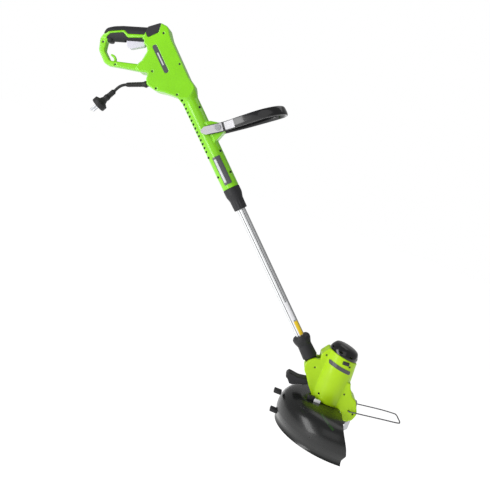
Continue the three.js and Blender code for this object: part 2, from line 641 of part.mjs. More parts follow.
// ---------------------------------------------------------------- head housing
const FLOOR_LINE = [[97, -73], [60, -70], [18, HEAD_FLOOR]]; // the guard seats under it
const HEAD_OUTLINE = [
  [-26, 9, 12], [-10, 26, 12], [4, 27, 4], [0, 42, 8], [15, 63.5, 3], [93, 50.2, 3], [92, 38, 8],
  [96, -6, 20], [110, -29, 20], [124, -37, 14], [138, -68, 14], [132, -86, 10], [120, -95, 8],
  [105, -95, 8], [...FLOOR_LINE[0], 10], [...FLOOR_LINE[1], 4], [...FLOOR_LINE[2], 8],
  [0, -46, 20], [-20, -16, 20],
];
const barrelProfile = [
  [0, 70], [BARREL_RADIUS - 3.5, 70], [BARREL_RADIUS, 10], [BARREL_RADIUS, -30],
  [BARREL_RADIUS - 2, HEAD_FLOOR - 4], [0, HEAD_FLOOR - 4],
];
const barrel = turned(barrelProfile, { x: AXIS_X, sides: 24 })
  .intersect(prism(HEAD_OUTLINE, -70, 70));
const rearBlock = prism(HEAD_OUTLINE, -HEAD_HALF, HEAD_HALF, { bevel: EDGE })
  .intersect(block(-60, AXIS_X, -70, 70, -120, 120));
const lobe = prism(HEAD_OUTLINE, -LOBE_HALF, LOBE_HALF, { bevel: EDGE })
  .intersect(block(AXIS_X + 20, 200, -70, 70, -120, 0));
const pivotBoss = rodY(PIVOT_BOSS, 0, 0, -HEAD_HALF, HEAD_HALF, 24);
const headOuter = join(barrel, rearBlock, lobe, pivotBoss);

const bearingLow = HEAD_FLOOR + 3;
const UPPER_WEB = 34;
const motorCavity = turned([
  [0, bearingLow + 10], [MOTOR_BORE, bearingLow + 10], [MOTOR_BORE, UPPER_WEB], [0, UPPER_WEB],
], { x: AXIS_X, sides: 24 });
const topCavity = turned([
  [0, UPPER_WEB + BEARING_WIDTH], [MOTOR_BORE - 3, UPPER_WEB + BEARING_WIDTH], [MOTOR_BORE - 3, 90], [0, 90],
], { x: AXIS_X, sides: 24 });
const shaftWell = turned([
  [0, -120], [ROTOR_SHAFT_RADIUS + 2, -120], [ROTOR_SHAFT_RADIUS + 2, bearingLow],
  [BEARING_RADIUS + GAP, bearingLow], [BEARING_RADIUS + GAP, bearingLow + 12], [0, bearingLow + 12],
], { x: AXIS_X, sides: 20 });
const upperWell = rodZ(BEARING_RADIUS + GAP, UPPER_WEB - 1, UPPER_WEB + BEARING_WIDTH + 1, {
  x: AXIS_X, sides: 20,
});
const lobeCavity = prism([
  [104, -36, 4], [118, -43, 6], [129, -69, 6], [123, -81, 6], [113, -85, 6], [105, -70, 4],
], -(LOBE_HALF - 10), LOBE_HALF - 10);

// the gap the neck's tongue works in, and the room behind the boss that its tilt needs
const TONGUE_PLAY = 0.5;
const tongueGap = rodY(PIVOT_BOSS + 12, 0, 0, -TONGUE_HALF - TONGUE_PLAY, TONGUE_HALF + TONGUE_PLAY, 24)
  .intersect(prism([[-60, -18], [-20, -20], [17, -20], [17, 18], [3, 50], [-60, 60]], -20, 20));
const neckRoom = prism([[0, 0, 0], [-70, -8, 0], [-70, 90, 0], [0, 90, 0], [1, 30, 0]], -30, 30);
const neckSweep = cut(neckRoom, rodY(PIVOT_BOSS + 0.1, 0, 0, -40, 40, 24));

// pedal slot
const PEDAL_HALF = 16;
const PEDAL_PIVOT = [5, -38];
const PEDAL_PIN_RADIUS = 2.5;
const pedalSlot = prism([
  [-60, -28, 0], [-6, -29, 0], [12, -31, 0], [14, -46, 0], [9, -64, 0], [-60, -90, 0],
], -(PEDAL_HALF + 0.6), PEDAL_HALF + 0.6);

const wireSlots = [-1, 1].map((side) => rodY(
  WIRE_RADIUS + 0.4, ...WIRE_ROOT, side < 0 ? -LOBE_HALF - 4 : LOBE_HALF - 9,
  side < 0 ? -LOBE_HALF + 9 : LOBE_HALF + 4, 12,
));
const statorRing = turned(ringProfile(MOTOR_BORE + 0.5, STATOR_RADIUS + GAP, -12, -6), {
  x: AXIS_X, sides: 24,
});
const headSolid = join(cut(
  headOuter, motorCavity, topCavity, shaftWell, upperWell, lobeCavity, neckSweep, tongueGap,
  pedalSlot, ...wireSlots,
  rodY(PIVOT_PIN_RADIUS + GAP, 0, 0, -HEAD_HALF + 3, HEAD_HALF - 3),
  rodY(PEDAL_PIN_RADIUS + GAP, ...PEDAL_PIVOT, -HEAD_HALF + 2, HEAD_HALF - 2, 14),
), statorRing);
add(head, 'head_left', LIME, largest(headSolid.intersect(NEAR_HALF)));
add(head, 'head_right', LIME, largest(headSolid.intersect(FAR_HALF)));
add(head, 'pivot_pin', STEEL, rodY(PIVOT_PIN_RADIUS, 0, 0, -HEAD_HALF + 3.4, HEAD_HALF - 3.4, 20));

// badge on the near side of the barrel
const badgeBand = [[21, 41, 3], [81, 30, 3], [83, 20, 3], [24, 30, 3]];
function barrelShell(grow) {
  const profile = barrelProfile.map(([radius, z]) => [radius > 0 ? radius + grow : 0, z]);
  return turned(profile, { x: AXIS_X, sides: 24 });
}
add(head, 'head_badge', GREY, largest(cut(
  barrelShell(GAP + 1).intersect(prism(badgeBand, -70, -5)), barrelShell(GAP),
)));

// ---------------------------------------------------------------- motor cap
function motorCap() {
  const shell = turned([
    [0, 26], [18, 25.5], [29, 22], [35, 13], [CAP_RADIUS, GAP], [CAP_RADIUS - WALL, GAP],
    [35 - WALL, 11], [27.5, 19.5], [17.5, 23], [0, 23.5],
  ], { sides: 24 });
  const slots = Array.from({ length: CAP_SLOTS }, (_, i) => {
    const slot = new THREE.BoxGeometry(14, 3, 12);
    slot.translate(CAP_RADIUS - 3, 0, 11);
    slot.rotateZ((2 * Math.PI * (i + 0.5)) / CAP_SLOTS);
    return toSolid(slot);
  });
  const geometry = toGeometry(cut(shell, ...slots));
  geometry.rotateY(CAP_TILT);
  geometry.translate(CAP_CENTRE[0], 0, CAP_CENTRE[1]);
  return toSolid(geometry);
}
add(head, 'motor_cap', BLACK, motorCap());

// ---------------------------------------------------------------- pedal
const pedalPlate = prism([
  [-61, -40, 6], [-56, -33.5, 5], [-30, -37, 6], [0, -32, 6], [11, -34, 4], [11, -42, 4],
  [0, -45, 4], [-14, -52, 4], [-50, -54, 6], [-61, -49, 6],
], -PEDAL_HALF, PEDAL_HALF, { bevel: 2 });
add(head, 'tilt_pedal', DARK, cut(pedalPlate, rodY(PEDAL_PIN_RADIUS + GAP, ...PEDAL_PIVOT, -30, 30, 14)));
add(head, 'pedal_pin', STEEL, rodY(PEDAL_PIN_RADIUS, ...PEDAL_PIVOT, -HEAD_HALF + 2.4, HEAD_HALF - 2.4, 14));

// ---------------------------------------------------------------- motor
const at = { x: AXIS_X };
const ROTOR_SHAFT_TOP = UPPER_WEB + BEARING_WIDTH + 2;
const ROTOR_SHAFT_END = SPOOL_TOP - 14;
add(head, 'rotor_shaft', STEEL, rodZ(ROTOR_SHAFT_RADIUS, ROTOR_SHAFT_END, ROTOR_SHAFT_TOP, {
  ...at, sides: 20,
}));
const onShaft = (outer, from, to, sides = 20) =>
  turned(ringProfile(outer, ROTOR_SHAFT_RADIUS + GAP, from, to), { ...at, sides });
const bearing = (from) => onShaft(BEARING_RADIUS, from, from + BEARING_WIDTH - GAP);
add(head, 'lower_bearing', STEEL, bearing(bearingLow + GAP));
add(head, 'upper_bearing', STEEL, bearing(UPPER_WEB));
add(head, 'rotor', COPPER, onShaft(ROTOR_RADIUS, -34, 8, 24));
add(head, 'stator', STEEL, turned(ringProfile(STATOR_RADIUS, ROTOR_RADIUS + 1, -32, 6), {
  ...at, sides: 24,
}));
const COMMUTATOR_RADIUS = 11;
const BRUSH = { half: 4, low: 15, high: 21, inner: COMMUTATOR_RADIUS + 0.5, outer: MOTOR_BORE - 1.2 };
const brush = (from, to) => block(AXIS_X - BRUSH.half, AXIS_X + BRUSH.half, from, to, BRUSH.low, BRUSH.high);
add(head, 'commutator', BRASS, onShaft(COMMUTATOR_RADIUS, BRUSH.low - 3, BRUSH.high + 3, 24));
add(head, 'brush_left', COPPER, brush(-BRUSH.outer, -BRUSH.inner));
add(head, 'brush_right', COPPER, brush(BRUSH.inner, BRUSH.outer));
function fan() {
  const blades = Array.from({ length: FAN_BLADES }, (_, i) => {
    const blade = new THREE.BoxGeometry(22, 2, 10);
    blade.translate(20, 0, -43);
    blade.rotateZ((2 * Math.PI * i) / FAN_BLADES);
    blade.translate(AXIS_X, 0, 0);
    return toSolid(blade);
  });
  return join(onShaft(11, -50, -38), onShaft(31, -40, -38, 32), ...blades);
}
add(head, 'fan', DARK, fan());

// ---------------------------------------------------------------- spool head
const driveHub = turned([
  [ROTOR_SHAFT_RADIUS + GAP, SPOOL_TOP], [SPOOL_RADIUS, SPOOL_TOP], [SPOOL_RADIUS, SPOOL_BOTTOM],
  [24, SPOOL_BOTTOM], [24, SPOOL_BOTTOM + WALL], [SPOOL_RADIUS - WALL, SPOOL_BOTTOM + WALL],
  [SPOOL_RADIUS - WALL, SPOOL_TOP - WALL], [12, SPOOL_TOP - WALL], [12, SPOOL_TOP - 14],
  [ROTOR_SHAFT_RADIUS + GAP, SPOOL_TOP - 14], [ROTOR_SHAFT_RADIUS + GAP, SPOOL_TOP],
], { ...at, sides: 24 });
const LINE_Z = (SPOOL_TOP + SPOOL_BOTTOM) / 2;
const eyelets = rodY(3, AXIS_X, LINE_Z, -60, 60, 12);
add(head, 'spool_housing', BLACK, cut(driveHub, eyelets));
const SPOOL_BORE = 12.5;
const SPOOL_RIM = 37;
add(head, 'line_spool', GREY, turned([
  [SPOOL_BORE, SPOOL_TOP - 5], [SPOOL_RIM, SPOOL_TOP - 5], [SPOOL_RIM, SPOOL_TOP - 7], [24, SPOOL_TOP - 7],
  [24, SPOOL_BOTTOM + 14], [SPOOL_RIM, SPOOL_BOTTOM + 14], [SPOOL_RIM, SPOOL_BOTTOM + 12],
  [SPOOL_BORE, SPOOL_BOTTOM + 12], [SPOOL_BORE, SPOOL_TOP - 5],
], { ...at, sides: 24 }));
add(head, 'line_left', LIME, rodY(LINE_RADIUS, AXIS_X, LINE_Z, -LINE_REACH, -24.5, 8));
add(head, 'line_right', LIME, rodY(LINE_RADIUS, AXIS_X, LINE_Z, 24.5, LINE_REACH, 8));
const BUMP_TRAVEL = 4;
add(head, 'bump_button', DARK, turned([
  [0, SPOOL_BOTTOM - 14], [16, SPOOL_BOTTOM - 14], [21, SPOOL_BOTTOM - 10], [23, SPOOL_BOTTOM - 2],
  [23, SPOOL_BOTTOM + WALL + GAP], [27, SPOOL_BOTTOM + WALL + GAP], [27, SPOOL_BOTTOM + 5],
  [10, SPOOL_BOTTOM + 5], [10, SPOOL_BOTTOM + 1], [0, SPOOL_BOTTOM + 1],
], { ...at, sides: 20 }));
const BUMP_WIRE = 0.8;
add(head, 'bump_spring', STEEL, coil(
  7.5, BUMP_WIRE, 4, SPOOL_BOTTOM + 1 + GAP + BUMP_WIRE, SPOOL_TOP - 14 - BUMP_TRAVEL - 1.5, AXIS_X,
));

// ---------------------------------------------------------------- guard
function guardShell() {
  const outer = [
    [56, GUARD_TOP], [104, GUARD_TOP], [132, GUARD_TOP - 10], [146, GUARD_TOP - 28],
    [GUARD_RADIUS, GUARD_TOP - 44], [GUARD_RADIUS, GUARD_TOP - 62], [GUARD_RIM, GUARD_BOTTOM + 8],
    [GUARD_RIM + 2, GUARD_BOTTOM],
  ];
  const inner = outer.map(([radius, z], i) => [
    radius - (i > 1 ? GUARD_WALL : 0), z - (i < 4 ? GUARD_WALL : 0),
  ]);
  const profile = [...outer, ...inner.slice(0, -1).reverse()];
  const last = [GUARD_RIM + 2 - GUARD_WALL, GUARD_BOTTOM];
  profile.splice(outer.length, 0, last);
  profile.push(outer[0]);
  return turned(profile, { x: GUARD_X, sides: 36 });
}
const wedge = (degrees, y) => {
  const angle = THREE.MathUtils.degToRad(degrees);
  return [GUARD_X - 400 * Math.cos(angle), y * 400 * Math.sin(angle)];
};
function frontWedge() {
  const shape = new THREE.Shape();
  shape.moveTo(GUARD_X, 0);
  shape.lineTo(...wedge(NEAR_EDGE, -1));
  shape.lineTo(GUARD_X + 500, -400);
  shape.lineTo(GUARD_X + 500, 400);
  shape.lineTo(...wedge(FAR_EDGE, 1));
  shape.closePath();
  const geometry = new THREE.ExtrudeGeometry(shape, { depth: 200, bevelEnabled: false });
  geometry.translate(0, 0, -220);
  return toSolid(geometry);
}
// the plate the head is screwed down on, and the pocket the head's floor sits in
const PLATE = { rear: -10, front: 92, half: 66, thick: 7 };
const guardPlate = prism([
  [PLATE.rear, GUARD_TOP], [PLATE.front, FLOOR_LINE[0][1] - 2 * GAP],
  [PLATE.front, GUARD_TOP - PLATE.thick], [PLATE.rear, GUARD_TOP - PLATE.thick],
], -PLATE.half, PLATE.half);
const SEAT_TOP = HEAD_FLOOR + 8;
const headSeat = prism([
  [FLOOR_LINE[2][0], SEAT_TOP], [FLOOR_LINE[2][0], GUARD_TOP - GAP],
  [FLOOR_LINE[1][0], FLOOR_LINE[1][1] - 2 * GAP],
  [FLOOR_LINE[0][0] + 1, FLOOR_LINE[0][1] - 2 * GAP], [FLOOR_LINE[0][0] + 1, SEAT_TOP],
], -BARREL_RADIUS, BARREL_RADIUS);
const guardLugs = [[-58, -96], [-50, -146]].map(([x, z]) => block(x - 16, x + 4, -9, 9, z - 5, z + 5));
// a radial plate at the guard's far edge: distance from the guard's centre, height and thickness
function edgePlate(from, to, low, high, thickness, offset) {
  const plate = new THREE.BoxGeometry(to - from, thickness, high - low);
  plate.translate((from + to) / 2, offset, (low + high) / 2);
  plate.rotateZ(Math.PI - THREE.MathUtils.degToRad(FAR_EDGE));
  plate.translate(GUARD_X, 0, 0);
  return toSolid(plate);
}
const RIB_THICK = 3;
const cutterRib = edgePlate(98, GUARD_RADIUS - 1.5, -152, -130, RIB_THICK, RIB_THICK / 2);
const guard = cut(
  join(cut(guardShell(), frontWedge()), guardPlate, cutterRib, ...guardLugs),
  rodZ(30, -200, 0, { ...at, sides: 24 }),
  headSeat,
);
add(head, 'guard', BLACK, largest(guard));

// line cutter on the far front edge of the guard
const CUTTER_THICK = 1.6;
add(head, 'line_cutter', STEEL, edgePlate(102, 138, -166, -138, CUTTER_THICK, -GAP - CUTTER_THICK / 2));

// ---------------------------------------------------------------- wire edge guard
function wireGuard() {
  const half = WIRE_HALF;
  const near = [
    [WIRE_ROOT[0], -LOBE_HALF + 5, WIRE_ROOT[1]], [WIRE_ROOT[0], -half + 2, WIRE_ROOT[1]],
    [WIRE_ROOT[0] + 3, -half - 0.5, WIRE_ROOT[1] + 0.4],
    [WIRE_ROOT[0] + 10, -half - 0.5, WIRE_ROOT[1] + 1.2],
    [200, -half, -53], [236, -half + 3, -48.5], [244, -half + 10, -47],
  ];
  const far = near.map(([x, y, z]) => [x, -y, z]).reverse();
  return sweep(ellipse(WIRE_RADIUS, WIRE_RADIUS, 6), [...near, [245, 0, -47], ...far], 44);
}
add(head, 'wire_guard', STEEL, wireGuard());

export default trimmer;
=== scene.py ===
"""A corded string trimmer: the visual model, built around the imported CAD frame."""
import math

import bmesh
import bpy
from mathutils import Matrix, Vector
from mathutils.bvhtree import BVHTree


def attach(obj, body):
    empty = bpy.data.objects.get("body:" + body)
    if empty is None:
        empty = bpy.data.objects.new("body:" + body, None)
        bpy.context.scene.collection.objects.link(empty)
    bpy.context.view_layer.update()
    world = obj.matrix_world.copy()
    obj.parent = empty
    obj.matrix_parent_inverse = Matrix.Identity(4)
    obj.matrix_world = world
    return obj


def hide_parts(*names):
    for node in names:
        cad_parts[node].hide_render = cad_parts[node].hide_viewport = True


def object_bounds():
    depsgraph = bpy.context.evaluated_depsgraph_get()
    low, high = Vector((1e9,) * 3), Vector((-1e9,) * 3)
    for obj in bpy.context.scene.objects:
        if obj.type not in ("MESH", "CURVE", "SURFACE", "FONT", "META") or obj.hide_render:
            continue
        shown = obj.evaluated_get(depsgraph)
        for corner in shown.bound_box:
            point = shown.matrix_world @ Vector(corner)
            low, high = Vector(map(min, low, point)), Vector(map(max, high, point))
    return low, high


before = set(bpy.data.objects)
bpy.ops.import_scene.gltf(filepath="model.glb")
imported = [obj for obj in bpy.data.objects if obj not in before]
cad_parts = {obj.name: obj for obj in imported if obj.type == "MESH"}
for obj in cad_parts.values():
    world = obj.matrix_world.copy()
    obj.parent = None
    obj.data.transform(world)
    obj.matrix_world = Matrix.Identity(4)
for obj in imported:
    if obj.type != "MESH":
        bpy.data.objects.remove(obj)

cad_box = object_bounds()

# ---------------------------------------------------------------- driving sizes, millimetres
MM = 0.001
GAP = 0.3
PITCH = math.radians(44)  # the shaft's slope in the working pose
GRIP_TURN = math.radians(60)
GRIP_DROP = 71  # the grip's middle, off the shaft's axis

# stations along the shaft's axis
TUBE_END = 451
COLLAR_END = 509
SHAFT_REAR = 262
SHAFT_FRONT = 905
PIVOT_ALONG = 951

TUBE_RADIUS = 21
SHAFT_RADIUS = 11
SHAFT_WALL = 1.6
AUX_SIDE = 25.8
AUX_THICK = 8
AUX_WIDTH = 23

# the head, in its own frame: heights from the pivot, AXIS_X to the motor's axis
AXIS_X = 54
BARREL_RADIUS = 43
CAP_TILT = math.radians(9.7)
CAP_CENTRE = (54.5, 57)
CAP_RADIUS = 38.3
GUARD_X = 96
GUARD_BOTTOM = -160
GUARD_WALL = 2.6
FAR_EDGE = 120  # degrees from straight back
SPOOL_RADIUS = 42
SPOOL_TOP = -84
SPOOL_BOTTOM = -130
WIRE_RADIUS = 1.6
WIRE_HALF = 34
WIRE_ROOT = (114, -66)
LOBE_HALF = 31

# the cord and what is on it, in the tool frame
CORD_RADIUS = 3.5
CORD_EXIT = (131, 0, -77)
SLEEVE_RADIUS = 6
SLEEVE_END = (107.5, 0, -127.6)
PLUG_NECK = (107.8, 0, -161.3)
PLUG_FACE = (121, 0, -218)
PLUG_RADIUS = 18.5
PLUG_LENGTH = 57
PLUG_PIN_SIDE = 9.5

# frames: the tool frame's X lies along the shaft, and ALONG_SHAFT has its Z that way for turned forms;
# the head frame is level at the head pivot, the motor frame stands on the motor's axis, and the grip
# frame lies along the rear grip
TOOL = (Matrix.Translation(Vector((math.sin(PITCH), 0, math.cos(PITCH))) * GRIP_DROP * MM)
        @ Matrix.Rotation(PITCH, 4, "Y"))
ALONG_SHAFT = TOOL @ Matrix.Rotation(math.pi / 2, 4, "Y")
HEAD = Matrix.Translation(TOOL @ Vector((PIVOT_ALONG * MM, 0, 0)))
GRIP = TOOL @ Matrix.Translation((0, 0, -GRIP_DROP * MM)) @ Matrix.Rotation(-GRIP_TURN, 4, "Y")
MOTOR = HEAD @ Matrix.Translation((AXIS_X * MM, 0, 0))


def at(place, x, y, z):
    """A point given in millimetres in one of the frames, in the shared frame in metres."""
    return place @ (Vector((x, y, z)) * MM)


def placed(place, x=0, y=0, z=0):
    """A frame moved along its own axes, by millimetres."""
    return place @ Matrix.Translation(Vector((x, y, z)) * MM)


# ---------------------------------------------------------------- camera
CAMERA_PLACE = (512.6, -1400, -214.5)
CAMERA_YAW = math.radians(2.28)
CAMERA_PITCH = math.radians(-6.865)
CAMERA_ROLL = math.radians(20.863)
CAMERA_LENS = 41.14


def make_camera():
    """The photo's viewpoint, with its slight roll."""
    data = bpy.data.cameras.new("camera")
    data.lens = CAMERA_LENS
    data.sensor_width = 36
    camera = bpy.data.objects.new("camera", data)
    bpy.context.collection.objects.link(camera)
    turn = (Matrix.Rotation(CAMERA_YAW, 4, "Z") @ Matrix.Rotation(math.pi / 2 + CAMERA_PITCH, 4, "X")
            @ Matrix.Rotation(CAMERA_ROLL, 4, "Z"))
    camera.matrix_world = Matrix.Translation(Vector(CAMERA_PLACE) * MM) @ turn
    bpy.context.scene.camera = camera


make_camera()


# ---------------------------------------------------------------- materials
class Paint:
    """A node tree with short calls for the textures that the materials share."""

    def __init__(self, name):
        self.material = bpy.data.materials.new(name)
        self.material.use_nodes = True
        self.nodes = self.material.node_tree.nodes
        self.links = self.material.node_tree.links
        self.shader = self.nodes["Principled BSDF"]
        self.where = self.nodes.new("ShaderNodeTexCoord").outputs["Object"]

    def noise(self, scale, detail=3.0, stretch=None):
        node = self.nodes.new("ShaderNodeTexNoise")
        node.inputs["Scale"].default_value = scale
        node.inputs["Detail"].default_value = detail
        source = self.where
        if stretch:
            mapping = self.nodes.new("ShaderNodeMapping")
            mapping.inputs["Rotation"].default_value = (0, -PITCH, 0)
            mapping.inputs["Scale"].default_value = stretch
            self.links.new(self.where, mapping.inputs["Vector"])
            source = mapping.outputs["Vector"]
        self.links.new(source, node.inputs["Vector"])
        return node.outputs["Fac"]

    def ramp(self, source, low, high):
        node = self.nodes.new("ShaderNodeValToRGB")
        node.color_ramp.elements[0].position = 0.3
        node.color_ramp.elements[1].position = 0.7
        node.color_ramp.elements[0].color = (*low, 1)
        node.color_ramp.elements[1].color = (*high, 1)
        self.links.new(source, node.inputs["Fac"])
        return node.outputs["Color"]

    def spread(self, source, low, high):
        node = self.nodes.new("ShaderNodeMapRange")
        node.inputs["To Min"].default_value = low
        node.inputs["To Max"].default_value = high
        self.links.new(source, node.inputs["Value"])
        return node.outputs["Result"]

    def bump(self, source, strength):
        node = self.nodes.new("ShaderNodeBump")
        node.inputs["Strength"].default_value = strength
        node.inputs["Distance"].default_value = 0.2 * MM
        self.links.new(source, node.inputs["Height"])
        self.links.new(node.outputs["Normal"], self.shader.inputs["Normal"])

    def set(self, socket, value):
        self.shader.inputs[socket].default_value = value

    def feed(self, socket, source):
        self.links.new(source, self.shader.inputs[socket])


def plastic(name, color, rough, grain=0.08, coat=0.0, vary=0.06, shine=0.5, coat_rough=0.08):
    """Moulded plastic: faint flow variation in the colour, fine spark-eroded grain."""
    paint = Paint(name)
    low = tuple(channel * (1 - vary) for channel in color)
    high = tuple(min(1, channel * (1 + vary)) for channel in color)
    paint.feed("Base Color", paint.ramp(paint.noise(18), low, high))
    paint.feed("Roughness", paint.spread(paint.noise(60), rough * 0.85, rough * 1.15))
    paint.bump(paint.noise(1400, 2), grain)
    paint.set("Specular IOR Level", shine)
    paint.set("Coat Weight", coat)
    paint.set("Coat Roughness", coat_rough)
    return paint.material


def rubber(name, color, rough, pebble=900.0):
    """Soft overmould with a pebbled skin."""
    paint = Paint(name)
    cells = paint.nodes.new("ShaderNodeTexVoronoi")
    cells.inputs["Scale"].default_value = pebble
    paint.links.new(paint.where, cells.inputs["Vector"])
    light = tuple(channel * 1.5 for channel in color)
    paint.feed("Base Color", paint.ramp(paint.noise(30), color, light))
    paint.feed("Roughness", paint.spread(paint.noise(80), rough * 0.88, min(1, rough * 1.1)))
    paint.bump(cells.outputs["Distance"], 0.35)
    paint.set("Sheen Weight", 0.04)
    paint.set("Specular IOR Level", 0.35)
    return paint.material


def metal(name, color, rough, stretch=(20, 400, 400), depth=0.12):
    """Metal with fine drawn lines along the shaft's direction."""
    paint = Paint(name)
    low = tuple(channel * 0.9 for channel in color)
    paint.feed("Base Color", paint.ramp(paint.noise(2, 4, stretch), low, color))
    paint.feed("Roughness", paint.spread(paint.noise(3, 4, stretch), rough * 0.8, rough * 1.25))
    paint.bump(paint.noise(4, 4, stretch), depth)
    paint.set("Metallic", 1.0)
    return paint.material


GREEN = plastic("lime_housing", (0.2, 0.58, 0.0015), 0.3, grain=0.04, coat=0.65, shine=0.25,
                coat_rough=0.2)
LIME = plastic("lime_head", (0.43, 0.71, 0.006), 0.36, coat=0.1, shine=0.25)
GLOSS = plastic("gloss_black", (0.004, 0.004, 0.005), 0.2, grain=0.02, coat=0.5, vary=0.2, shine=0.35)
GUARD_BLACK = plastic("guard_black", (0.008, 0.0085, 0.0085), 0.27, grain=0.05, coat=0.15, vary=0.15,
                      shine=0.4)
CHARCOAL = plastic("charcoal", (0.017, 0.017, 0.019), 0.5, grain=0.3, vary=0.15, shine=0.35)
GREY_ARM = plastic("grey_arm", (0.50, 0.49, 0.52), 0.3, grain=0.05, coat=0.3)
PALE = plastic("pale_trigger", (0.55, 0.54, 0.61), 0.42)
SOFT = rubber("soft_grip", (0.010, 0.010, 0.012), 0.6)
JACKET = rubber("cable_jacket", (0.008, 0.008, 0.008), 0.55, 1500.0)
# Near-black: the screws' own black, and painted shade on the dark sheets under the tube's air slots.
BLACK_AND_PAINTED_SHADE = plastic("screw_black_and_painted_shade", (0.004, 0.004, 0.005), 0.6)
BADGE = plastic("badge_grey", (0.06, 0.062, 0.068), 0.32, grain=0.05, coat=0.2)
FOIL = plastic("badge_foil", (0.5, 0.51, 0.54), 0.25, grain=0.02)
YELLOW = plastic("yellow_sticker", (0.85, 0.60, 0.02), 0.4)
# White: the white sticker's own colour, and also the painted highlight of the block at the guard latch.
WHITE = plastic("white_sticker", (0.78, 0.78, 0.80), 0.35)
ALUMINIUM = metal("extruded_aluminium", (0.84, 0.85, 0.86), 0.32, depth=0.03)
STEEL = metal("plain_steel", (0.42, 0.43, 0.45), 0.34)
DARK_STEEL = metal("dark_wire", (0.16, 0.16, 0.17), 0.4)
BRASS = metal("turned_brass", (0.56, 0.43, 0.18), 0.3)
WINDINGS = metal("windings", (0.42, 0.17, 0.07), 0.4, (400, 400, 30), 0.6)
LINE = plastic("nylon_line", (0.62, 0.72, 0.06), 0.3)
STICKER_GREEN = plastic("guard_sticker", (0.012, 0.05, 0.006), 0.25)


# ---------------------------------------------------------------- mesh helpers
def to_object(name, bm, place=None):
    """A linked object from a bmesh in millimetres, placed by a frame."""
    bmesh.ops.remove_doubles(bm, verts=bm.verts, dist=1e-4)
    bmesh.ops.recalc_face_normals(bm, faces=bm.faces)
    if place is not None:
        bm.transform(place @ Matrix.Scale(MM, 4))
    mesh = bpy.data.meshes.new(name)
    bm.to_mesh(mesh)
    bm.free()
    piece = bpy.data.objects.new(name, mesh)
    bpy.context.collection.objects.link(piece)
    return piece


def finish_piece(piece, material, body, *nodes, sharp=35):
    """Smooth shading with crisp edges, one material, one body, and the nodes it stands for."""
    mesh = piece.data
    mesh.materials.clear()
    mesh.materials.append(material)
    mesh.polygons.foreach_set("use_smooth", [True] * len(mesh.polygons))
    mesh.set_sharp_from_angle(angle=math.radians(sharp))
    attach(piece, body)
    if nodes:
        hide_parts(*nodes)
    return piece


def bake(piece):
    """Makes the piece's modifiers part of its mesh."""
    graph = bpy.context.evaluated_depsgraph_get()
    mesh = bpy.data.meshes.new_from_object(piece.evaluated_get(graph))
    piece.modifiers.clear()
    piece.data = mesh


def carve(piece, *tools):
    """Cuts the tools out of the piece, and deletes them."""
    for tool in tools:
        change = piece.modifiers.new("carve", "BOOLEAN")
        change.operation = "DIFFERENCE"
        change.solver = "EXACT"
        change.object = tool
        bake(piece)
        bpy.data.objects.remove(tool)


def bare_copy(name, node):
    """A welded copy of a CAD node's mesh, in the shared frame."""
    bm = bmesh.new()
    bm.from_mesh(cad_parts[node].data)
    bmesh.ops.remove_doubles(bm, verts=bm.verts, dist=1e-6)
    mesh = bpy.data.meshes.new(name)
    bm.to_mesh(mesh)
    bm.free()
    piece = bpy.data.objects.new(name, mesh)
    bpy.context.collection.objects.link(piece)
    return piece


def true_round(piece, place, start, end, radius_at, below=0.6):
    """Moves the outside of a many-sided barrel onto the true circle about its axis, a frame's Z.

    A point counts as the outside from `below` under the circle to `above` over it.
    """
    above, inset = 0.3, 0.1
    inverse = place.inverted()
    for vert in piece.data.vertices:
        point = (inverse @ vert.co) / MM
        if start < point.z < end:
            reach, wanted = math.hypot(point.x, point.y), radius_at(point.z)
            if -below < reach - wanted < above:
                scale = (wanted - inset) / reach
                vert.co = place @ (Vector((point.x * scale, point.y * scale, point.z)) * MM)


def moulded(name, node, material, body, tools=(), voxel=1.0, rounds=10):
    """A node's shape with cuts made, its edges rounded off as a moulding's are."""
    piece = bare_copy(name, node)
    carve(piece, *tools)
    remesh = piece.modifiers.new("remesh", "REMESH")
    remesh.mode = "VOXEL"
    remesh.voxel_size = voxel * MM
    smooth = piece.modifiers.new("smooth", "SMOOTH")
    smooth.factor = 0.5
    smooth.iterations = rounds
    bake(piece)
    return finish_piece(piece, material, body, node, sharp=60)


def rings_to_bmesh(rings, closed=False):
    """A skin over rings of points; the ends are capped unless the rings close on themselves."""
    bm = bmesh.new()
    loops = [[bm.verts.new(point) for point in ring] for ring in rings]
    count = len(loops[0])
    following = loops[1:] + loops[:1] if closed else loops[1:]
    for one, two in zip(loops, following):
        for i in range(count):
            j = (i + 1) % count
            bm.faces.new((one[i], one[j], two[j], two[i]))
    if not closed:
        bm.faces.new(loops[0])
        bm.faces.new(loops[-1])
    return bm


def turned(profile, sides=72, shape=None, closed=False):
    """A turned form about Z from [radius, height] pairs; shape(height, angle) scales the radius."""
    rings = []
    for radius, height in profile:
        ring = []
        for i in range(sides):
            angle = 2 * math.pi * i / sides
            reach = max(radius, 0.01) * (shape(height, angle) if shape else 1)
            ring.append((reach * math.cos(angle), reach * math.sin(angle), height))
        rings.append(ring)
    return rings_to_bmesh(rings, closed)


def between(start, end):
    """A frame whose Z runs from one tool point to another, in millimetres."""
    direction = (Vector(end) - Vector(start)).normalized()
    turn = direction.to_track_quat("Z", "Y").to_matrix().to_4x4()
    return TOOL @ Matrix.Translation(Vector(start) * MM) @ turn


def block(size, place, round_by=0.0):
    """A box with its edges rounded; size and radius in millimetres."""
    bm = bmesh.new()
    bmesh.ops.create_cube(bm, size=1)
    bmesh.ops.scale(bm, vec=size, verts=bm.verts)
    if round_by:
        bmesh.ops.bevel(bm, geom=bm.edges[:], offset=round_by, segments=3, profile=0.5, affect="EDGES")
    return to_object("block", bm, place)


def fitted_block(name, size, place, round_by, material, body, sharp=50):
    """A rounded block as a piece of its own."""
    piece = block(size, place, round_by)
    piece.name = name
    finish_piece(piece, material, body, sharp=sharp)


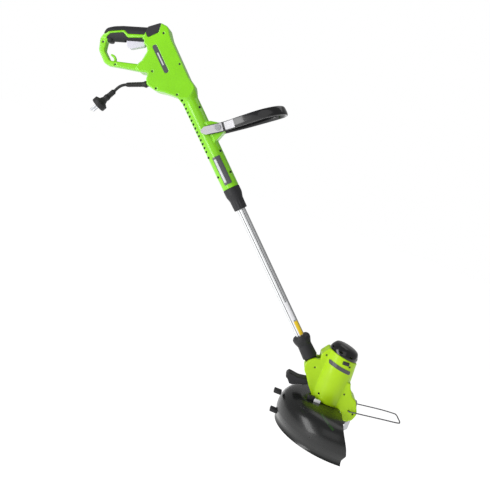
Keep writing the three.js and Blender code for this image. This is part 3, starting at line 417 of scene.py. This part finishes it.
def spline(points, count):
    """Points along a Catmull-Rom curve through the given points."""
    padded = [2 * points[0] - points[1], *points, 2 * points[-1] - points[-2]]
    result = []
    for i in range(count + 1):
        t = i / count * (len(points) - 1)
        k = min(int(t), len(points) - 2)
        f = t - k
        a, b, c, d = padded[k:k + 4]
        result.append(0.5 * ((2 * b) + (c - a) * f + (2 * a - 5 * b + 4 * c - d) * f * f
                             + (3 * b - a - 3 * c + d) * f * f * f))
    return result


def swept(points, section, wide_way):
    """A section of (wide, thin) pairs, given by how far along the path, swept along points."""
    rings = []
    last = len(points) - 1
    for i, point in enumerate(points):
        tangent = (points[min(i + 1, last)] - points[max(i - 1, 0)]).normalized()
        wide = (wide_way - wide_way.dot(tangent) * tangent).normalized()
        thin = tangent.cross(wide)
        rings.append([point + wide * w + thin * t for w, t in section(i / last)])
    return rings_to_bmesh(rings)


def squircle(half_wide, half_thin, power, sides=24):
    """A section between an ellipse and a rectangle: the power squares its corners."""
    points = []
    for i in range(sides):
        angle = 2 * math.pi * i / sides
        c, s = math.cos(angle), math.sin(angle)
        points.append((half_wide * math.copysign(abs(c) ** (2 / power), c),
                       half_thin * math.copysign(abs(s) ** (2 / power), s)))
    return points


def surface_of(node):
    """A CAD node's surface, for ray tests."""
    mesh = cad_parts[node].data
    return BVHTree.FromPolygons([v.co for v in mesh.vertices], [p.vertices for p in mesh.polygons])


def near_surface(tree, point):
    """Where a ray along +Y, from well outside and through a point, meets the surface."""
    reach = 200 * MM
    start = Vector((point.x, -reach, point.z))
    return tree.ray_cast(start, Vector((0, 1, 0)), 2 * reach)[0]


# ---------------------------------------------------------------- cord, sleeve and plug
CORD_ROUTE = [
    (107.3, 0, -128.0), (106.35, 0, -130.2), (105.6, 0, -132.4), (105.0, 0, -134.6),
    (104.5, 0, -136.8), (104.15, 0, -139.0), (103.95, 0, -141.2), (103.9, 0, -143.4),
    (104.05, 0, -145.6), (104.3, 0, -147.8), (104.7, 0, -150.0), (105.15, 0, -152.2),
    (105.7, 0, -154.4), (106.4, 0, -156.6), (107.05, 0, -158.8), (107.7, 0, -161.0),
]
SLEEVE_STEPS = 5


def sleeve():
    """Strain relief with flex grooves, thicker where it leaves the housing."""
    length = (Vector(SLEEVE_END) - Vector(CORD_EXIT)).length
    profile = [(0, -10), (SLEEVE_RADIUS - 0.2, -10), (SLEEVE_RADIUS - 0.2, 2), (8.2, 3.6), (8.4, 5), (8, 8)]
    groove, pitch, first = 0.7, 4.2, 14
    z = first
    profile.append((6.2, 12))
    while z < length - 8:
        radius = SLEEVE_RADIUS + 0.1 - 0.6 * (z - first) / length
        profile += [(radius, z), (radius, z + 2.4), (radius - groove, z + 2.8), (radius - groove, z + 3.8)]
        z += pitch
    profile += [(5.4, z), (5.2, length - 1.5), (4.4, length - 0.2), (0, length - 0.2)]
    return finish_piece(to_object("sleeve", turned(profile, 48), between(CORD_EXIT, SLEEVE_END)),
                        JACKET, "handle", "strain_relief")


def plug():
    """Round two-pin plug: ribbed grip, disc and a recessed face."""
    profile = [(0, 0.2), (4.6, 0.2), (5.4, 1.2)]
    ribs, first_rib, rib_pitch = 4, 3, 4.2
    for i in range(ribs):
        z = first_rib + i * rib_pitch
        profile += [(6.2, z), (6.8, z + 0.6), (6.8, z + 2.2), (6.1, z + 2.8)]
    profile += [
        (7.6, 21), (8.4, 22.5), (8.4, 28), (7.6, 31), (8.6, 34), (11, 39.5), (15.5, 42.5),
        (PLUG_RADIUS - 0.6, 43.6), (PLUG_RADIUS, 45), (PLUG_RADIUS, PLUG_LENGTH - 2),
        (PLUG_RADIUS - 0.8, PLUG_LENGTH - 0.6), (PLUG_RADIUS - 2.4, PLUG_LENGTH - 0.2),
        (PLUG_RADIUS - 3, PLUG_LENGTH - 1.6), (0, PLUG_LENGTH - 1.6),
    ]

    def oval(height, angle):
        return 1 + 0.1 * math.cos(2 * angle) if 20 <= height <= 40 else 1

    piece = to_object("plug", turned(profile, 64, oval), between(PLUG_NECK, PLUG_FACE))
    finish_piece(piece, JACKET, "handle", "plug_body")
    shape = [(0, -1.5), (2.4, -1.5), (2.4, 10), (2.3, 10.3), (2.3, 16.5), (1.9, 18.2), (1, 19), (0, 19)]
    for name, y in (("plug_pin_left", -PLUG_PIN_SIDE), ("plug_pin_right", PLUG_PIN_SIDE)):
        seat = between(PLUG_NECK, PLUG_FACE) @ Matrix.Translation((0, 0, (PLUG_LENGTH + GAP) * MM))
        seat.translation += Vector((0, y * MM, 0))
        finish_piece(to_object(name + "_turned", turned(shape, 28), seat), STEEL, "handle", name)
    return piece


def power_cord():
    """The cord from the housing, through the sleeve, to the plug's neck; also its exit and length."""
    start, end = Vector(CORD_EXIT), Vector(SLEEVE_END)
    points = [at(TOOL, *start.lerp(end, i / SLEEVE_STEPS)) for i in range(SLEEVE_STEPS)]
    points += [at(TOOL, *point) for point in CORD_ROUTE]
    data = bpy.data.curves.new("cord", "CURVE")
    data.dimensions = "3D"
    data.bevel_depth = CORD_RADIUS * MM
    data.bevel_resolution = 6
    data.use_fill_caps = True
    line = data.splines.new("POLY")
    line.points.add(len(points) - 1)
    for target, point in zip(line.points, points):
        target.co = (*point, 1)
    piece = bpy.data.objects.new("cord", data)
    bpy.context.collection.objects.link(piece)
    data.materials.append(JACKET)
    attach(piece, "handle")
    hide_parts("power_cord")
    length = sum((b - a).length for a, b in zip(points, points[1:]))
    return piece, points[0], length


relief = sleeve()
plug_piece = plug()
cord, cord_exit, cord_length = power_cord()


# ---------------------------------------------------------------- screws in wells
WELL_RADIUS = 3.1
WELL_DEPTH = 1.7
HANDLE_SCREWS = [
    (45.3, 13.6), (-8.1, -132.0), (53.9, -129.3), (113.6, -51.3), (128.1, 17.3), (154.4, -61.1),
    (190.9, -20.7), (240.1, 16.0), (357.5, 16.6), (414.7, 16.9), (360.1, -17.7), (414.0, -16.8),
]
HEAD_SCREWS = [(13.7, 44.4), (74.4, 40.1), (29.8, -51.2), (89.2, -30.7), (127.1, -70.5), (103, -86), (-2, 4)]


def well(centre):
    """A tool that cuts a screw's well, from outside to just below the surface."""
    length = 40
    seat = Matrix.Translation(centre + Vector((0, (WELL_DEPTH - length / 2) * MM, 0)))
    bm = turned([(WELL_RADIUS, -length / 2), (WELL_RADIUS, length / 2)], 24)
    return to_object("well", bm, seat @ Matrix.Rotation(math.pi / 2, 4, "X"))


def screw(name, centre, body):
    """A black pan-head screw with a cross recess, sunk in its well."""
    head_radius = WELL_RADIUS - 0.15
    shape = [(0, -0.35), (head_radius, -0.35), (head_radius, 0.2), (head_radius * 0.82, 0.75), (0.01, 0.95)]
    seat = (Matrix.Translation(centre + Vector((0, (WELL_DEPTH - 0.25) * MM, 0)))
            @ Matrix.Rotation(math.pi / 2, 4, "X"))
    piece = to_object(name, turned(shape, 24), seat)
    driven_to = 0.3
    for turn in (driven_to, driven_to + math.pi / 2):
        slot = block((3.4, 0.6, 1.6), seat @ Matrix.Rotation(turn, 4, "Z") @ Matrix.Translation((0, 0, MM)))
        carve(piece, slot)
    finish_piece(piece, BLACK_AND_PAINTED_SHADE, body)


def wells_and_screws(places, frame_of, node, prefix, body):
    """A row of screws on a node's near side, and the tools that cut their wells."""
    surface = surface_of(node)
    tools = []
    for i, (x, z) in enumerate(places):
        centre = near_surface(surface, at(frame_of, x, 0, z))
        tools.append(well(centre))
        screw(f"{prefix}_screw_{i + 1}", centre, body)
    return tools


# ---------------------------------------------------------------- flat plates
def middle_in_tool(node):
    """The middle of a CAD node's box along the tool frame's axes, in millimetres."""
    inverse = TOOL.inverted()
    local = [inverse @ v.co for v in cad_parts[node].data.vertices]
    low = Vector(min(p[i] for p in local) for i in range(3))
    high = Vector(max(p[i] for p in local) for i in range(3))
    return ((low + high) / 2) / MM


def stadium(half_long, half_wide, radius, steps=6):
    """A rectangle with rounded corners."""
    points = []
    for cx, cy, start in ((1, 1, 0), (-1, 1, 90), (-1, -1, 180), (1, -1, 270)):
        for i in range(steps + 1):
            angle = math.radians(start + 90 * i / steps)
            points.append((cx * (half_long - radius) + radius * math.cos(angle),
                           cy * (half_wide - radius) + radius * math.sin(angle)))
    return points


def extruded(outline, thick, bevel):
    """A flat plate in XY, centred on Z, with its edge rounded."""
    half = thick / 2
    cx = sum(p[0] for p in outline) / len(outline)
    cy = sum(p[1] for p in outline) / len(outline)
    rings = []
    for inset, z in ((bevel, -half), (0, -half + bevel), (0, half - bevel), (bevel, half)):
        ring = []
        for x, y in outline:
            reach = math.hypot(x - cx, y - cy)
            keep = (reach - inset) / reach
            ring.append((cx + (x - cx) * keep, cy + (y - cy) * keep, z))
        rings.append(ring)
    return rings_to_bmesh(rings)


def flat_way(side):
    """Turns a plate's Z to face out of one side."""
    return Matrix.Rotation(math.pi / 2 if side < 0 else -math.pi / 2, 4, "X")


# ---------------------------------------------------------------- handle
def under_grip_tool():
    """Clears the shells' lower edge from under the grip, so that the pad is what shows there."""
    return block((86, 60, 16), placed(GRIP, 6, 0, -21.6))


TUBE_START = 222  # where the body has narrowed to the round tube
handle_wells = wells_and_screws(HANDLE_SCREWS, TOOL, "housing_left", "housing", "handle")
near_cuts = [*handle_wells, under_grip_tool()]
for shell in (moulded("near_shell", "housing_left", GREEN, "handle", near_cuts, rounds=9),
              moulded("far_shell", "housing_right", GREEN, "handle", [under_grip_tool()], rounds=9)):
    true_round(shell, ALONG_SHAFT, TUBE_START, TUBE_END - 2, lambda z: TUBE_RADIUS)
fitted_block("grip_heel", (15, 26, 15), placed(GRIP, -40.5, 0, -16), 5.5, SOFT, "handle", sharp=70)
moulded("top_grip", "grip_top_pad", SOFT, "handle", voxel=0.6, rounds=4)
moulded("under_grip", "grip_under_pad", SOFT, "handle", voxel=0.6, rounds=4)
moulded("front_patch", "front_pad", SOFT, "handle", voxel=0.6, rounds=4)
moulded("finger_trigger", "trigger", PALE, "trigger", voxel=0.7)


BADGE_LONG = 73
BADGE_WIDE = 11
BADGE_OUT = 23.35  # the strip's middle, from the middle plane


def side_badge(side, node):
    """A blank grey strip with a bright inlay, on one side of the body."""
    name = "near" if side < 0 else "far"
    middle = middle_in_tool(node)
    seat = placed(TOOL, middle.x, side * BADGE_OUT, middle.z) @ flat_way(side)
    plate = extruded(stadium(BADGE_LONG / 2, BADGE_WIDE / 2, 4.2), 1.25, 0.35)
    finish_piece(to_object(f"badge_plate_{name}", plate, seat), BADGE, "handle", node)
    inlay = extruded(stadium(BADGE_LONG / 2 - 20, 1.7, 1.6), 0.3, 0.08)
    finish_piece(to_object(f"badge_inlay_{name}", inlay, placed(seat, z=0.62)), FOIL, "handle")


side_badge(-1, "badge_strip_left")
side_badge(1, "badge_strip_right")


# ---------------------------------------------------------------- front handle
ARM_TAPER = 0.05  # the share of the loop over which each arm's end narrows
ARM_PLATES = {"cover": (0, 21, 0.3), "band": (22, 30, 0.94)}  # steps along the loop, and width at the start


def arm_plate(name, span, out, start):
    """A thin grey plate along the outside of an arm; start is its width there, as a share of the full."""
    path = [point + Vector((0, out * (AUX_THICK / 2 - 0.2), 0)) for point in span]

    def section(along):
        return squircle((AUX_WIDTH / 2 - 1.8) * min(1, start + along * 3.5), 0.55, 4, 20)

    bm = swept(path, section, Vector((1, 0, 0)))
    finish_piece(to_object(name, bm, TOOL), GREY_ARM, "front_handle")


def front_handle():
    """A D loop of one flat section, narrowed at the arms' ends, with grey plates on the arms."""
    path = [Vector(p) for p in (
        (297, -AUX_SIDE, -6), (302, -AUX_SIDE, 16), (308, -AUX_SIDE, 40), (313, -AUX_SIDE - 5, 66),
        (319, -AUX_SIDE - 16, 102), (326, -AUX_SIDE - 22, 144), (333, -AUX_SIDE - 14, 178),
        (337.5, -24, 195), (339, 0, 200),
    )]
    path += [Vector((p.x, -p.y, p.z)) for p in reversed(path[:-1])]
    points = spline(path, 140)

    def section(along):
        edge = min(along, 1 - along)
        grow = min(1, 0.25 + 0.75 * edge / ARM_TAPER)
        return squircle(AUX_WIDTH / 2 * grow, AUX_THICK / 2, 3.2)

    bm = swept(points, section, Vector((1, 0, 0)))
    finish_piece(to_object("front_loop", bm, TOOL), GLOSS, "front_handle", "front_handle")
    for side, out, span in (("near", -1, points), ("far", 1, points[::-1])):
        for part, (first, last, start) in ARM_PLATES.items():
            arm_plate(f"arm_{part}_{side}", span[first:last], out, start)


front_handle()


# ---------------------------------------------------------------- twist lock and shaft
GROOVES = 8
# angles round the shaft, from its upper side, and the radius of the dark sheets of painted shade under the
# air slots
NEAR_SIDE = -math.pi / 2
VENTS_AT = 2.72
VENT_SHADE_RADIUS = 18


def lock_collar():
    """A tapering collar with finger flutes and a thick rear ring."""
    flutes, depth, run_out = 14, 0.06, 4
    start, end = TUBE_END + 33.5, COLLAR_END - 3

    def fluted(height, angle):
        if height < start or height > end:
            return 1
        blend = min(1, (height - start) / run_out, (end - height) / run_out)
        return 1 - depth * blend * (0.5 + 0.5 * math.cos(flutes * angle)) ** 2

    outer = [(20.6, TUBE_END), (21.2, TUBE_END + 0.8), (21.2, TUBE_END + 16), (20.8, TUBE_END + 18.5)]
    outer += [(20.4 - 2.7 * i / 8, TUBE_END + 20 + 10 * i / 8) for i in range(9)]
    outer += [(17.5 - 0.6 * i / 10, TUBE_END + 31 + 24 * i / 10) for i in range(11)]
    outer += [(16.6, COLLAR_END - 1.4), (15.6, COLLAR_END - 0.2), (11.8, COLLAR_END)]
    inner = [(11.8, COLLAR_END - 6.7), (14.3, COLLAR_END - 6.7), (14.3, TUBE_END + 33), (17.3, TUBE_END + 33),
             (17.3, TUBE_END)]
    bm = turned(outer + inner, 112, fluted, closed=True)
    finish_piece(to_object("twist_collar", bm, ALONG_SHAFT), CHARCOAL, "lock_collar", "lock_collar")


def groove_painted_shade():
    """Painted shade: a dark charcoal strip sunk along the floor of each groove in the shaft."""
    deep, wide, sunk = 0.3, 1.5, 0.55
    long = SHAFT_FRONT - SHAFT_REAR - 2
    bm = bmesh.new()
    # one dark strip per groove, painting the shade that falls in it
    for i in range(GROOVES):
        turn = Matrix.Rotation(math.pi / GROOVES + 2 * math.pi * i / GROOVES, 4, "Z")
        seat = turn @ Matrix.Translation((SHAFT_RADIUS - sunk, 0, (SHAFT_REAR + SHAFT_FRONT) / 2))
        bmesh.ops.create_cube(bm, size=1, matrix=seat @ Matrix.Diagonal((deep, wide, long, 1)))
    finish_piece(to_object("groove_painted_shade", bm, ALONG_SHAFT), CHARCOAL, "shaft")


def shaft_tube():
    """Aluminium tube with narrow grooves drawn along it."""
    half_width, depth = 0.12, 0.62  # radians, millimetres
    sides = 192
    angles = [2 * math.pi * i / sides for i in range(sides)]

    def ring(radius, x, grooved):
        result = []
        for angle in angles:
            off = abs(math.remainder(angle - math.pi / GROOVES, 2 * math.pi / GROOVES))
            dip = depth * max(0, 1 - (off / half_width) ** 2) if grooved else 0
            result.append(((radius - dip) * math.cos(angle), (radius - dip) * math.sin(angle), x))
        return result

    outer, inner = SHAFT_RADIUS - 0.02, SHAFT_RADIUS - SHAFT_WALL
    rings = [ring(outer, SHAFT_REAR, True), ring(outer, SHAFT_FRONT, True),
             ring(inner, SHAFT_FRONT, False), ring(inner, SHAFT_REAR, False)]
    bm = rings_to_bmesh(rings, closed=True)
    finish_piece(to_object("shaft_tube", bm, ALONG_SHAFT), ALUMINIUM, "shaft", "shaft", sharp=25)


def wrapped_patch(name, start, end, centre_angle, half_angle, radius, thick, material, body, *nodes):
    """A thin curved plate on a tube, used for stickers, labels and the dark sheets of painted shade under the
    air slots.
    """
    steps_long, steps_round = 12, 14
    arc = [centre_angle - half_angle + 2 * half_angle * k / steps_round for k in range(steps_round + 1)]
    outside = [((radius + thick) * math.sin(angle), (radius + thick) * math.cos(angle)) for angle in arc]
    inside = [(radius * math.sin(angle), radius * math.cos(angle)) for angle in reversed(arc)]
    rings = []
    for i in range(steps_long + 1):
        x = start + (end - start) * i / steps_long
        rings.append([(x, y, z) for y, z in outside + inside])
    finish_piece(to_object(name, rings_to_bmesh(rings), TOOL), material, body, *nodes)


lock_collar()
shaft_tube()
groove_painted_shade()
wrapped_patch("yellow_sticker", 822, 860, NEAR_SIDE + 0.55, 0.5, SHAFT_RADIUS, 0.12, YELLOW, "shaft")
wrapped_patch("white_sticker", 768, 818, NEAR_SIDE + 0.2, 0.5, SHAFT_RADIUS, 0.12, WHITE, "shaft")
# Dark sheets just inside the air slots: painted shade, standing for the dark inside of the tube seen through
# them.
for vent_side, vent_name in ((1, "far"), (-1, "near")):
    wrapped_patch(f"vent_painted_shade_{vent_name}", 200, 356, vent_side * VENTS_AT, 0.39, VENT_SHADE_RADIUS, 0.7, BLACK_AND_PAINTED_SHADE,
                  "handle")
wrapped_patch("label_plate", 366.2, 439.8, NEAR_SIDE + 0.02, 0.46, TUBE_RADIUS + GAP, 0.75, BADGE, "handle",
              "rating_label")
wrapped_patch("label_inlay", 372, 434, NEAR_SIDE - 0.22, 0.14, TUBE_RADIUS + GAP + 0.7, 0.12, FOIL, "handle")

# ---------------------------------------------------------------- neck, head housing and pedal
moulded("neck_moulding", "neck", CHARCOAL, "shaft", voxel=0.8, rounds=8)
head_wells = wells_and_screws(HEAD_SCREWS, HEAD, "head_left", "head", "head")
BARREL_LOW = -66
BARREL_HIGH = 60


def barrel_radius(z):
    """The motor barrel's radius at a height: level in the middle, drawn in towards both ends."""
    level_low, level_high = -30, 10
    return BARREL_RADIUS - max(0, z - level_high) * 3.5 / 60 - max(0, level_low - z) * 2 / 42


for shell in (moulded("near_head_shell", "head_left", LIME, "head", head_wells, rounds=16),
              moulded("far_head_shell", "head_right", LIME, "head", rounds=16)):
    true_round(shell, MOTOR, BARREL_LOW, BARREL_HIGH, barrel_radius, 0.7)
moulded("head_badge_plate", "head_badge", BADGE, "head", voxel=0.45, rounds=3)


PEDAL_BLOCK = [(-60, -45), (-57, -34.4), (-30, -37), (-12, -34.5), (-14, -50), (-38, -61), (-46, -61.5)]
TREAD_PITCH = 5.5


def pedal():
    """The lever that frees the head's tilt, with a thick grooved block under the foot."""
    moulded("foot_pedal", "tilt_pedal", CHARCOAL, "tilt_pedal", voxel=0.8, rounds=8)
    seat = HEAD @ Matrix.Rotation(math.pi / 2, 4, "X")
    piece = to_object("pedal_block", extruded(PEDAL_BLOCK, 31, 1.6), seat)
    for i in range(-2, 3):
        carve(piece, block((30, 2.2, 5), placed(HEAD, -42, i * TREAD_PITCH, -34), 0.5))
    finish_piece(piece, CHARCOAL, "tilt_pedal")


pedal()


# ---------------------------------------------------------------- motor cap
def motor_cap():
    """A glossy dome with cooling slots round its side and a raised crown, and the clip below it."""
    outer = [
        (CAP_RADIUS, 0.3), (CAP_RADIUS, 2), (37.9, 5), (36.8, 9), (35.2, 13), (33.2, 17), (30.4, 20.6),
        (28.6, 22), (27.4, 22.2), (26.6, 22.9), (22, 24.4), (16, 25.3), (9, 25.8), (0.01, 26),
    ]
    inner = [(0.01, 23.5), (16, 23), (26, 20), (32.5, 11), (35.8, 0.3)]
    tilt = placed(HEAD, CAP_CENTRE[0], 0, CAP_CENTRE[1]) @ Matrix.Rotation(CAP_TILT, 4, "Y")
    piece = to_object("cap_dome", turned(outer + inner, 96, closed=True), tilt)
    slots = 8
    for i in range(slots):
        turn = tilt @ Matrix.Rotation(2 * math.pi * (i + 0.5) / slots, 4, "Z")
        carve(piece, block((14, 9, 3.4), placed(turn, CAP_RADIUS - 3, 0, 8), 0.8))
    fitted_block("cap_clip", (17, 5, 9), placed(HEAD, 62, -40, 46.5), 1.2, GLOSS, "head")
    finish_piece(piece, GLOSS, "head", "motor_cap", sharp=30)


motor_cap()


# ---------------------------------------------------------------- guard
NEAR_EDGE = [  # height, degrees round from straight ahead
    (-60, 268), (-80, 270.4), (-111, 277), (-129, 279.6), (-131.5, 279.6), (-132.5, 277.2), (-162, 279.2),
]
GUARD_OUTSIDE = [
    (56, -70), (80, -70), (104, -70.2), (116, -72.6), (126, -76.6), (133, -81), (140, -88), (145, -96),
    (148.4, -106), (149.8, -114), (150, -122), (149.8, -129), (149.4, -131.5), (149, -132.5), (147.6, -138.5),
    (144.2, -145), (142.3, -150), (142, -154), (143.4, -157.6), (144, GUARD_BOTTOM),
]
BAR_FROM = (60.2, 241)  # distance down the outside, degrees round
BAR_TO = (87.3, 261)
BAR_HALF = 3.0


def near_edge(z):
    """The angle of the guard's near front edge at a height: it rakes forward and has a notch."""
    for (z_one, angle_one), (z_two, angle_two) in zip(NEAR_EDGE, NEAR_EDGE[1:]):
        if z_two <= z <= z_one:
            break
    return math.radians(angle_one + (angle_two - angle_one) * (z_one - z) / (z_one - z_two))


def guard_inside(radius, z):
    """The inner face: the wall is taken downwards on the top, and inwards on the side."""
    top_ends, blend, side_starts = 100, 20, -100
    inward = min(1, max(0, radius - top_ends) / blend)
    return radius - GUARD_WALL * inward, z - GUARD_WALL * (z > side_starts)


def guard_shell():
    """The shell behind and beside the line, with a rolled shoulder, a waist and a rim."""
    rim_inside = (GUARD_OUTSIDE[-1][0] - GUARD_WALL, GUARD_BOTTOM)
    inner = [guard_inside(radius, z) for radius, z in GUARD_OUTSIDE[:-1]]
    profile = GUARD_OUTSIDE + [rim_inside] + inner[::-1]
    steps = 150
    end = math.radians(180 - FAR_EDGE)
    rings = []
    for i in range(steps + 1):
        ring = []
        for radius, z in profile:
            angle = near_edge(z) + (end - near_edge(z)) * i / steps
            ring.append((GUARD_X + radius * math.cos(angle), radius * math.sin(angle), z))
        rings.append(ring)
    shell = to_object("guard_shell", rings_to_bmesh(rings), HEAD)
    finish_piece(shell, GUARD_BLACK, "head", "guard", sharp=40)


def guard_plate():
    """The flat plate at the head's foot, bored round the motor's axis."""
    middle, bore = 40.8, 30
    outline = [(x + middle, y) for x, y in stadium(50, 65, 28, 10)]
    plate = to_object("guard_plate", extruded(outline, 6.6, 0.8), placed(HEAD, z=-73.7))
    carve(plate, to_object("bore", turned([(bore, -200), (bore, 0)], 64), MOTOR))
    finish_piece(plate, GUARD_BLACK, "head", sharp=30)


def guard_fittings():
    """The two lugs at the back, and at the head's foot the clip and a white block of painted highlight, the
    reflection on the black latch bracket.
    """
    fitted_block("guard_lug_upper", (20, 18, 10), placed(HEAD, -64, 0, -96), 1.6, CHARCOAL, "head")
    fitted_block("guard_lug_lower", (20, 18, 10), placed(HEAD, -56, 0, -146), 1.6, CHARCOAL, "head")
    # A white block: painted highlight, standing for the reflection on the black bracket there.
    fitted_block("guard_latch_highlight", (17, 9, 8), placed(HEAD, 30, -46, -66.5), 1.6, WHITE, "head")
    fitted_block("guard_clip", (18, 12, 12), placed(HEAD, 14, -43, -65), 2.0, CHARCOAL, "head")


def shoulder(along):
    """A point on the guard's outside, given by its distance along the profile from the inner edge."""
    for (r_one, z_one), (r_two, z_two) in zip(GUARD_OUTSIDE, GUARD_OUTSIDE[1:]):
        step = math.hypot(r_two - r_one, z_two - z_one)
        if along <= step:
            break
        along -= step
    return r_one + (r_two - r_one) * along / step, z_one + (z_two - z_one) * along / step


def guard_bar():
    """The blank bar that stands for the print on the shoulder."""
    steps = 16
    down_share, round_share = 0.85, 0.24  # each millimetre of half width: millimetres down, degrees round
    rings = []
    for i in range(steps + 1):
        t = i / steps
        down = BAR_FROM[0] + (BAR_TO[0] - BAR_FROM[0]) * t
        degrees = BAR_FROM[1] + (BAR_TO[1] - BAR_FROM[1]) * t
        ring = []
        for lift, side in ((0.15, -1), (0.15, 1), (-0.3, 1), (-0.3, -1)):
            radius, z = shoulder(down + side * BAR_HALF * down_share)
            angle = math.radians(degrees - side * BAR_HALF * round_share)
            reach = radius + lift
            ring.append((GUARD_X + reach * math.cos(angle), reach * math.sin(angle), z + lift))
        rings.append(ring)
    finish_piece(to_object("guard_bar", rings_to_bmesh(rings), HEAD), STICKER_GREEN, "head")


guard_shell()
guard_plate()
guard_fittings()
guard_bar()


# ---------------------------------------------------------------- spool and line
def spool_drum():
    """The ribbed drum that turns round the spool, open below for the feed button."""
    ribs, depth, plain_end = 24, 0.03, 6

    def ribbed(height, angle):
        if SPOOL_BOTTOM + plain_end < height < SPOOL_TOP - plain_end:
            return 1 - depth * (0.5 + 0.5 * math.cos(ribs * angle)) ** 2
        return 1

    radius, top, low = SPOOL_RADIUS, SPOOL_TOP, SPOOL_BOTTOM
    side = [(radius, z) for z in (top - 1.2, top - 6, top - 10, low + 12, low + 8)]
    drum = [(4.3, top), (radius - 1, top), *side, (radius - 0.6, low + 1), (radius - 1.6, low), (24, low),
            (24, low + 2.5), (radius - 3, low + 2.5), (radius - 3, top - 3), (12, top - 2.8), (12, top - 14),
            (4.3, top - 14)]
    bm = turned(drum, 96, ribbed, closed=True)
    finish_piece(to_object("spool_drum", bm, MOTOR), GLOSS, "rotor", "spool_housing")


def feed_button():
    """The domed button that feeds line when it is bumped on the ground."""
    button = [(0.01, -144), (15.6, -144), (17.6, -143.2), (21, -140), (22.6, -136), (23, -132), (23, -127.2),
              (27, -127.2), (27, -125), (10, -125), (10, -129), (0.01, -129)]
    bm = turned(button, 72, closed=True)
    finish_piece(to_object("feed_button", bm, MOTOR), CHARCOAL, "bump_button", "bump_button")


spool_drum()
feed_button()


# ---------------------------------------------------------------- wire guard
def wire_guard():
    """A bent wire hoop ahead of the line, rooted in both sides of the head's nose."""
    near = [
        (WIRE_ROOT[0], -LOBE_HALF + 5, WIRE_ROOT[1]), (WIRE_ROOT[0], -WIRE_HALF + 2, WIRE_ROOT[1]),
        (WIRE_ROOT[0] + 3, -WIRE_HALF - 0.5, WIRE_ROOT[1] + 0.4),
        (WIRE_ROOT[0] + 10, -WIRE_HALF - 0.5, WIRE_ROOT[1] + 1.2),
        (200, -WIRE_HALF, -53), (236, -WIRE_HALF + 3, -48.5), (244, -WIRE_HALF + 10, -47),
    ]
    path = [Vector(p) for p in near]
    path += [Vector((245, 0, -47))] + [Vector((p.x, -p.y, p.z)) for p in reversed(path)]
    points = spline(path, 220)
    sides = 14
    angles = [2 * math.pi * i / sides for i in range(sides)]
    circle = [(WIRE_RADIUS * math.cos(angle), WIRE_RADIUS * math.sin(angle)) for angle in angles]
    bm = swept(points, lambda along: circle, Vector((0.02, 0.01, 1)))
    finish_piece(to_object("edge_wire", bm, HEAD), DARK_STEEL, "wire_guard", "wire_guard")


wire_guard()

# ---------------------------------------------------------------- carried-over nodes
CARRIED = {
    STEEL: ("trigger_pin", "trigger_spring", "front_handle_bolt", "pivot_pin", "pedal_pin",
            "rotor_shaft", "lower_bearing", "upper_bearing", "bump_spring", "line_cutter"),
    CHARCOAL: ("neck_screw", "switch_body", "cord_clamp", "shaft_guide", "fan", "brush_left", "brush_right",
               "line_spool"),
    PALE: ("switch_plunger", "collet"),
    JACKET: ("inner_cable",),
    WINDINGS: ("rotor", "stator"),
    BRASS: ("commutator",),
    LINE: ("line_left", "line_right"),
}
for material, names in CARRIED.items():
    for name in names:
        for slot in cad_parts[name].material_slots:
            slot.material = material


# ---------------------------------------------------------------- stage and light
WORLD_LIGHT = 0.34
FLOOR_HALF = 30000
FLOOR_DROP = 0.45  # metres below the object


def make_stage():
    """A white floor, well below the object, so that hardly any shadow shows on it."""
    bm = bmesh.new()
    bmesh.ops.create_grid(bm, x_segments=2, y_segments=2, size=FLOOR_HALF)
    floor = to_object("floor", bm, Matrix.Translation((0, 0, cad_box[0].z - FLOOR_DROP)))
    paint = Paint("floor_white")
    paint.set("Base Color", (0.9, 0.9, 0.9, 1))
    paint.set("Roughness", 0.9)
    paint.set("Emission Color", (1, 1, 1, 1))
    paint.set("Emission Strength", 0.7)
    floor.data.materials.append(paint.material)


def make_light(name, place, aim, size, power, long_way=Vector((0, 0, 1))):
    """A soft rectangle; its long side lies as near to long_way as its aim lets it."""
    data = bpy.data.lights.new(name, "AREA")
    data.shape = "RECTANGLE"
    data.size, data.size_y = size
    data.energy = power
    light = bpy.data.objects.new(name, data)
    bpy.context.collection.objects.link(light)
    back = (place - aim).normalized()
    long_side = (long_way - long_way.dot(back) * back).normalized()
    turn = Matrix((long_side.cross(back), long_side, back)).transposed()
    light.matrix_world = Matrix.Translation(place) @ turn.to_4x4()


def make_lights():
    """Three soft lights, and a world that is white to the camera and dimmer as a light."""
    middle = (cad_box[0] + cad_box[1]) / 2
    along = Vector((math.cos(PITCH), 0, -math.sin(PITCH)))
    make_light("key", middle + Vector((-1.3, -1.2, 0.15)), middle, (0.6, 1.9), 21, along)
    make_light("front", middle + Vector((0.1, -2.2, 0.9)), middle, (1.4, 1.4), 4)
    make_light("top", middle + Vector((0.3, 0.3, 1.8)), middle, (1.6, 1.0), 6)
    world = bpy.data.worlds.new("studio")
    bpy.context.scene.world = world
    world.use_nodes = True
    nodes, links = world.node_tree.nodes, world.node_tree.links
    nodes["Background"].inputs["Color"].default_value = (1, 1, 1, 1)
    seen = nodes.new("ShaderNodeLightPath").outputs["Is Camera Ray"]
    strength = nodes.new("ShaderNodeMapRange")
    strength.inputs["To Min"].default_value = WORLD_LIGHT
    strength.inputs["To Max"].default_value = 1.0
    links.new(seen, strength.inputs["Value"])
    links.new(strength.outputs["Result"], nodes["Background"].inputs["Strength"])


make_stage()
make_lights()
bpy.context.scene.view_settings.view_transform = "Standard"
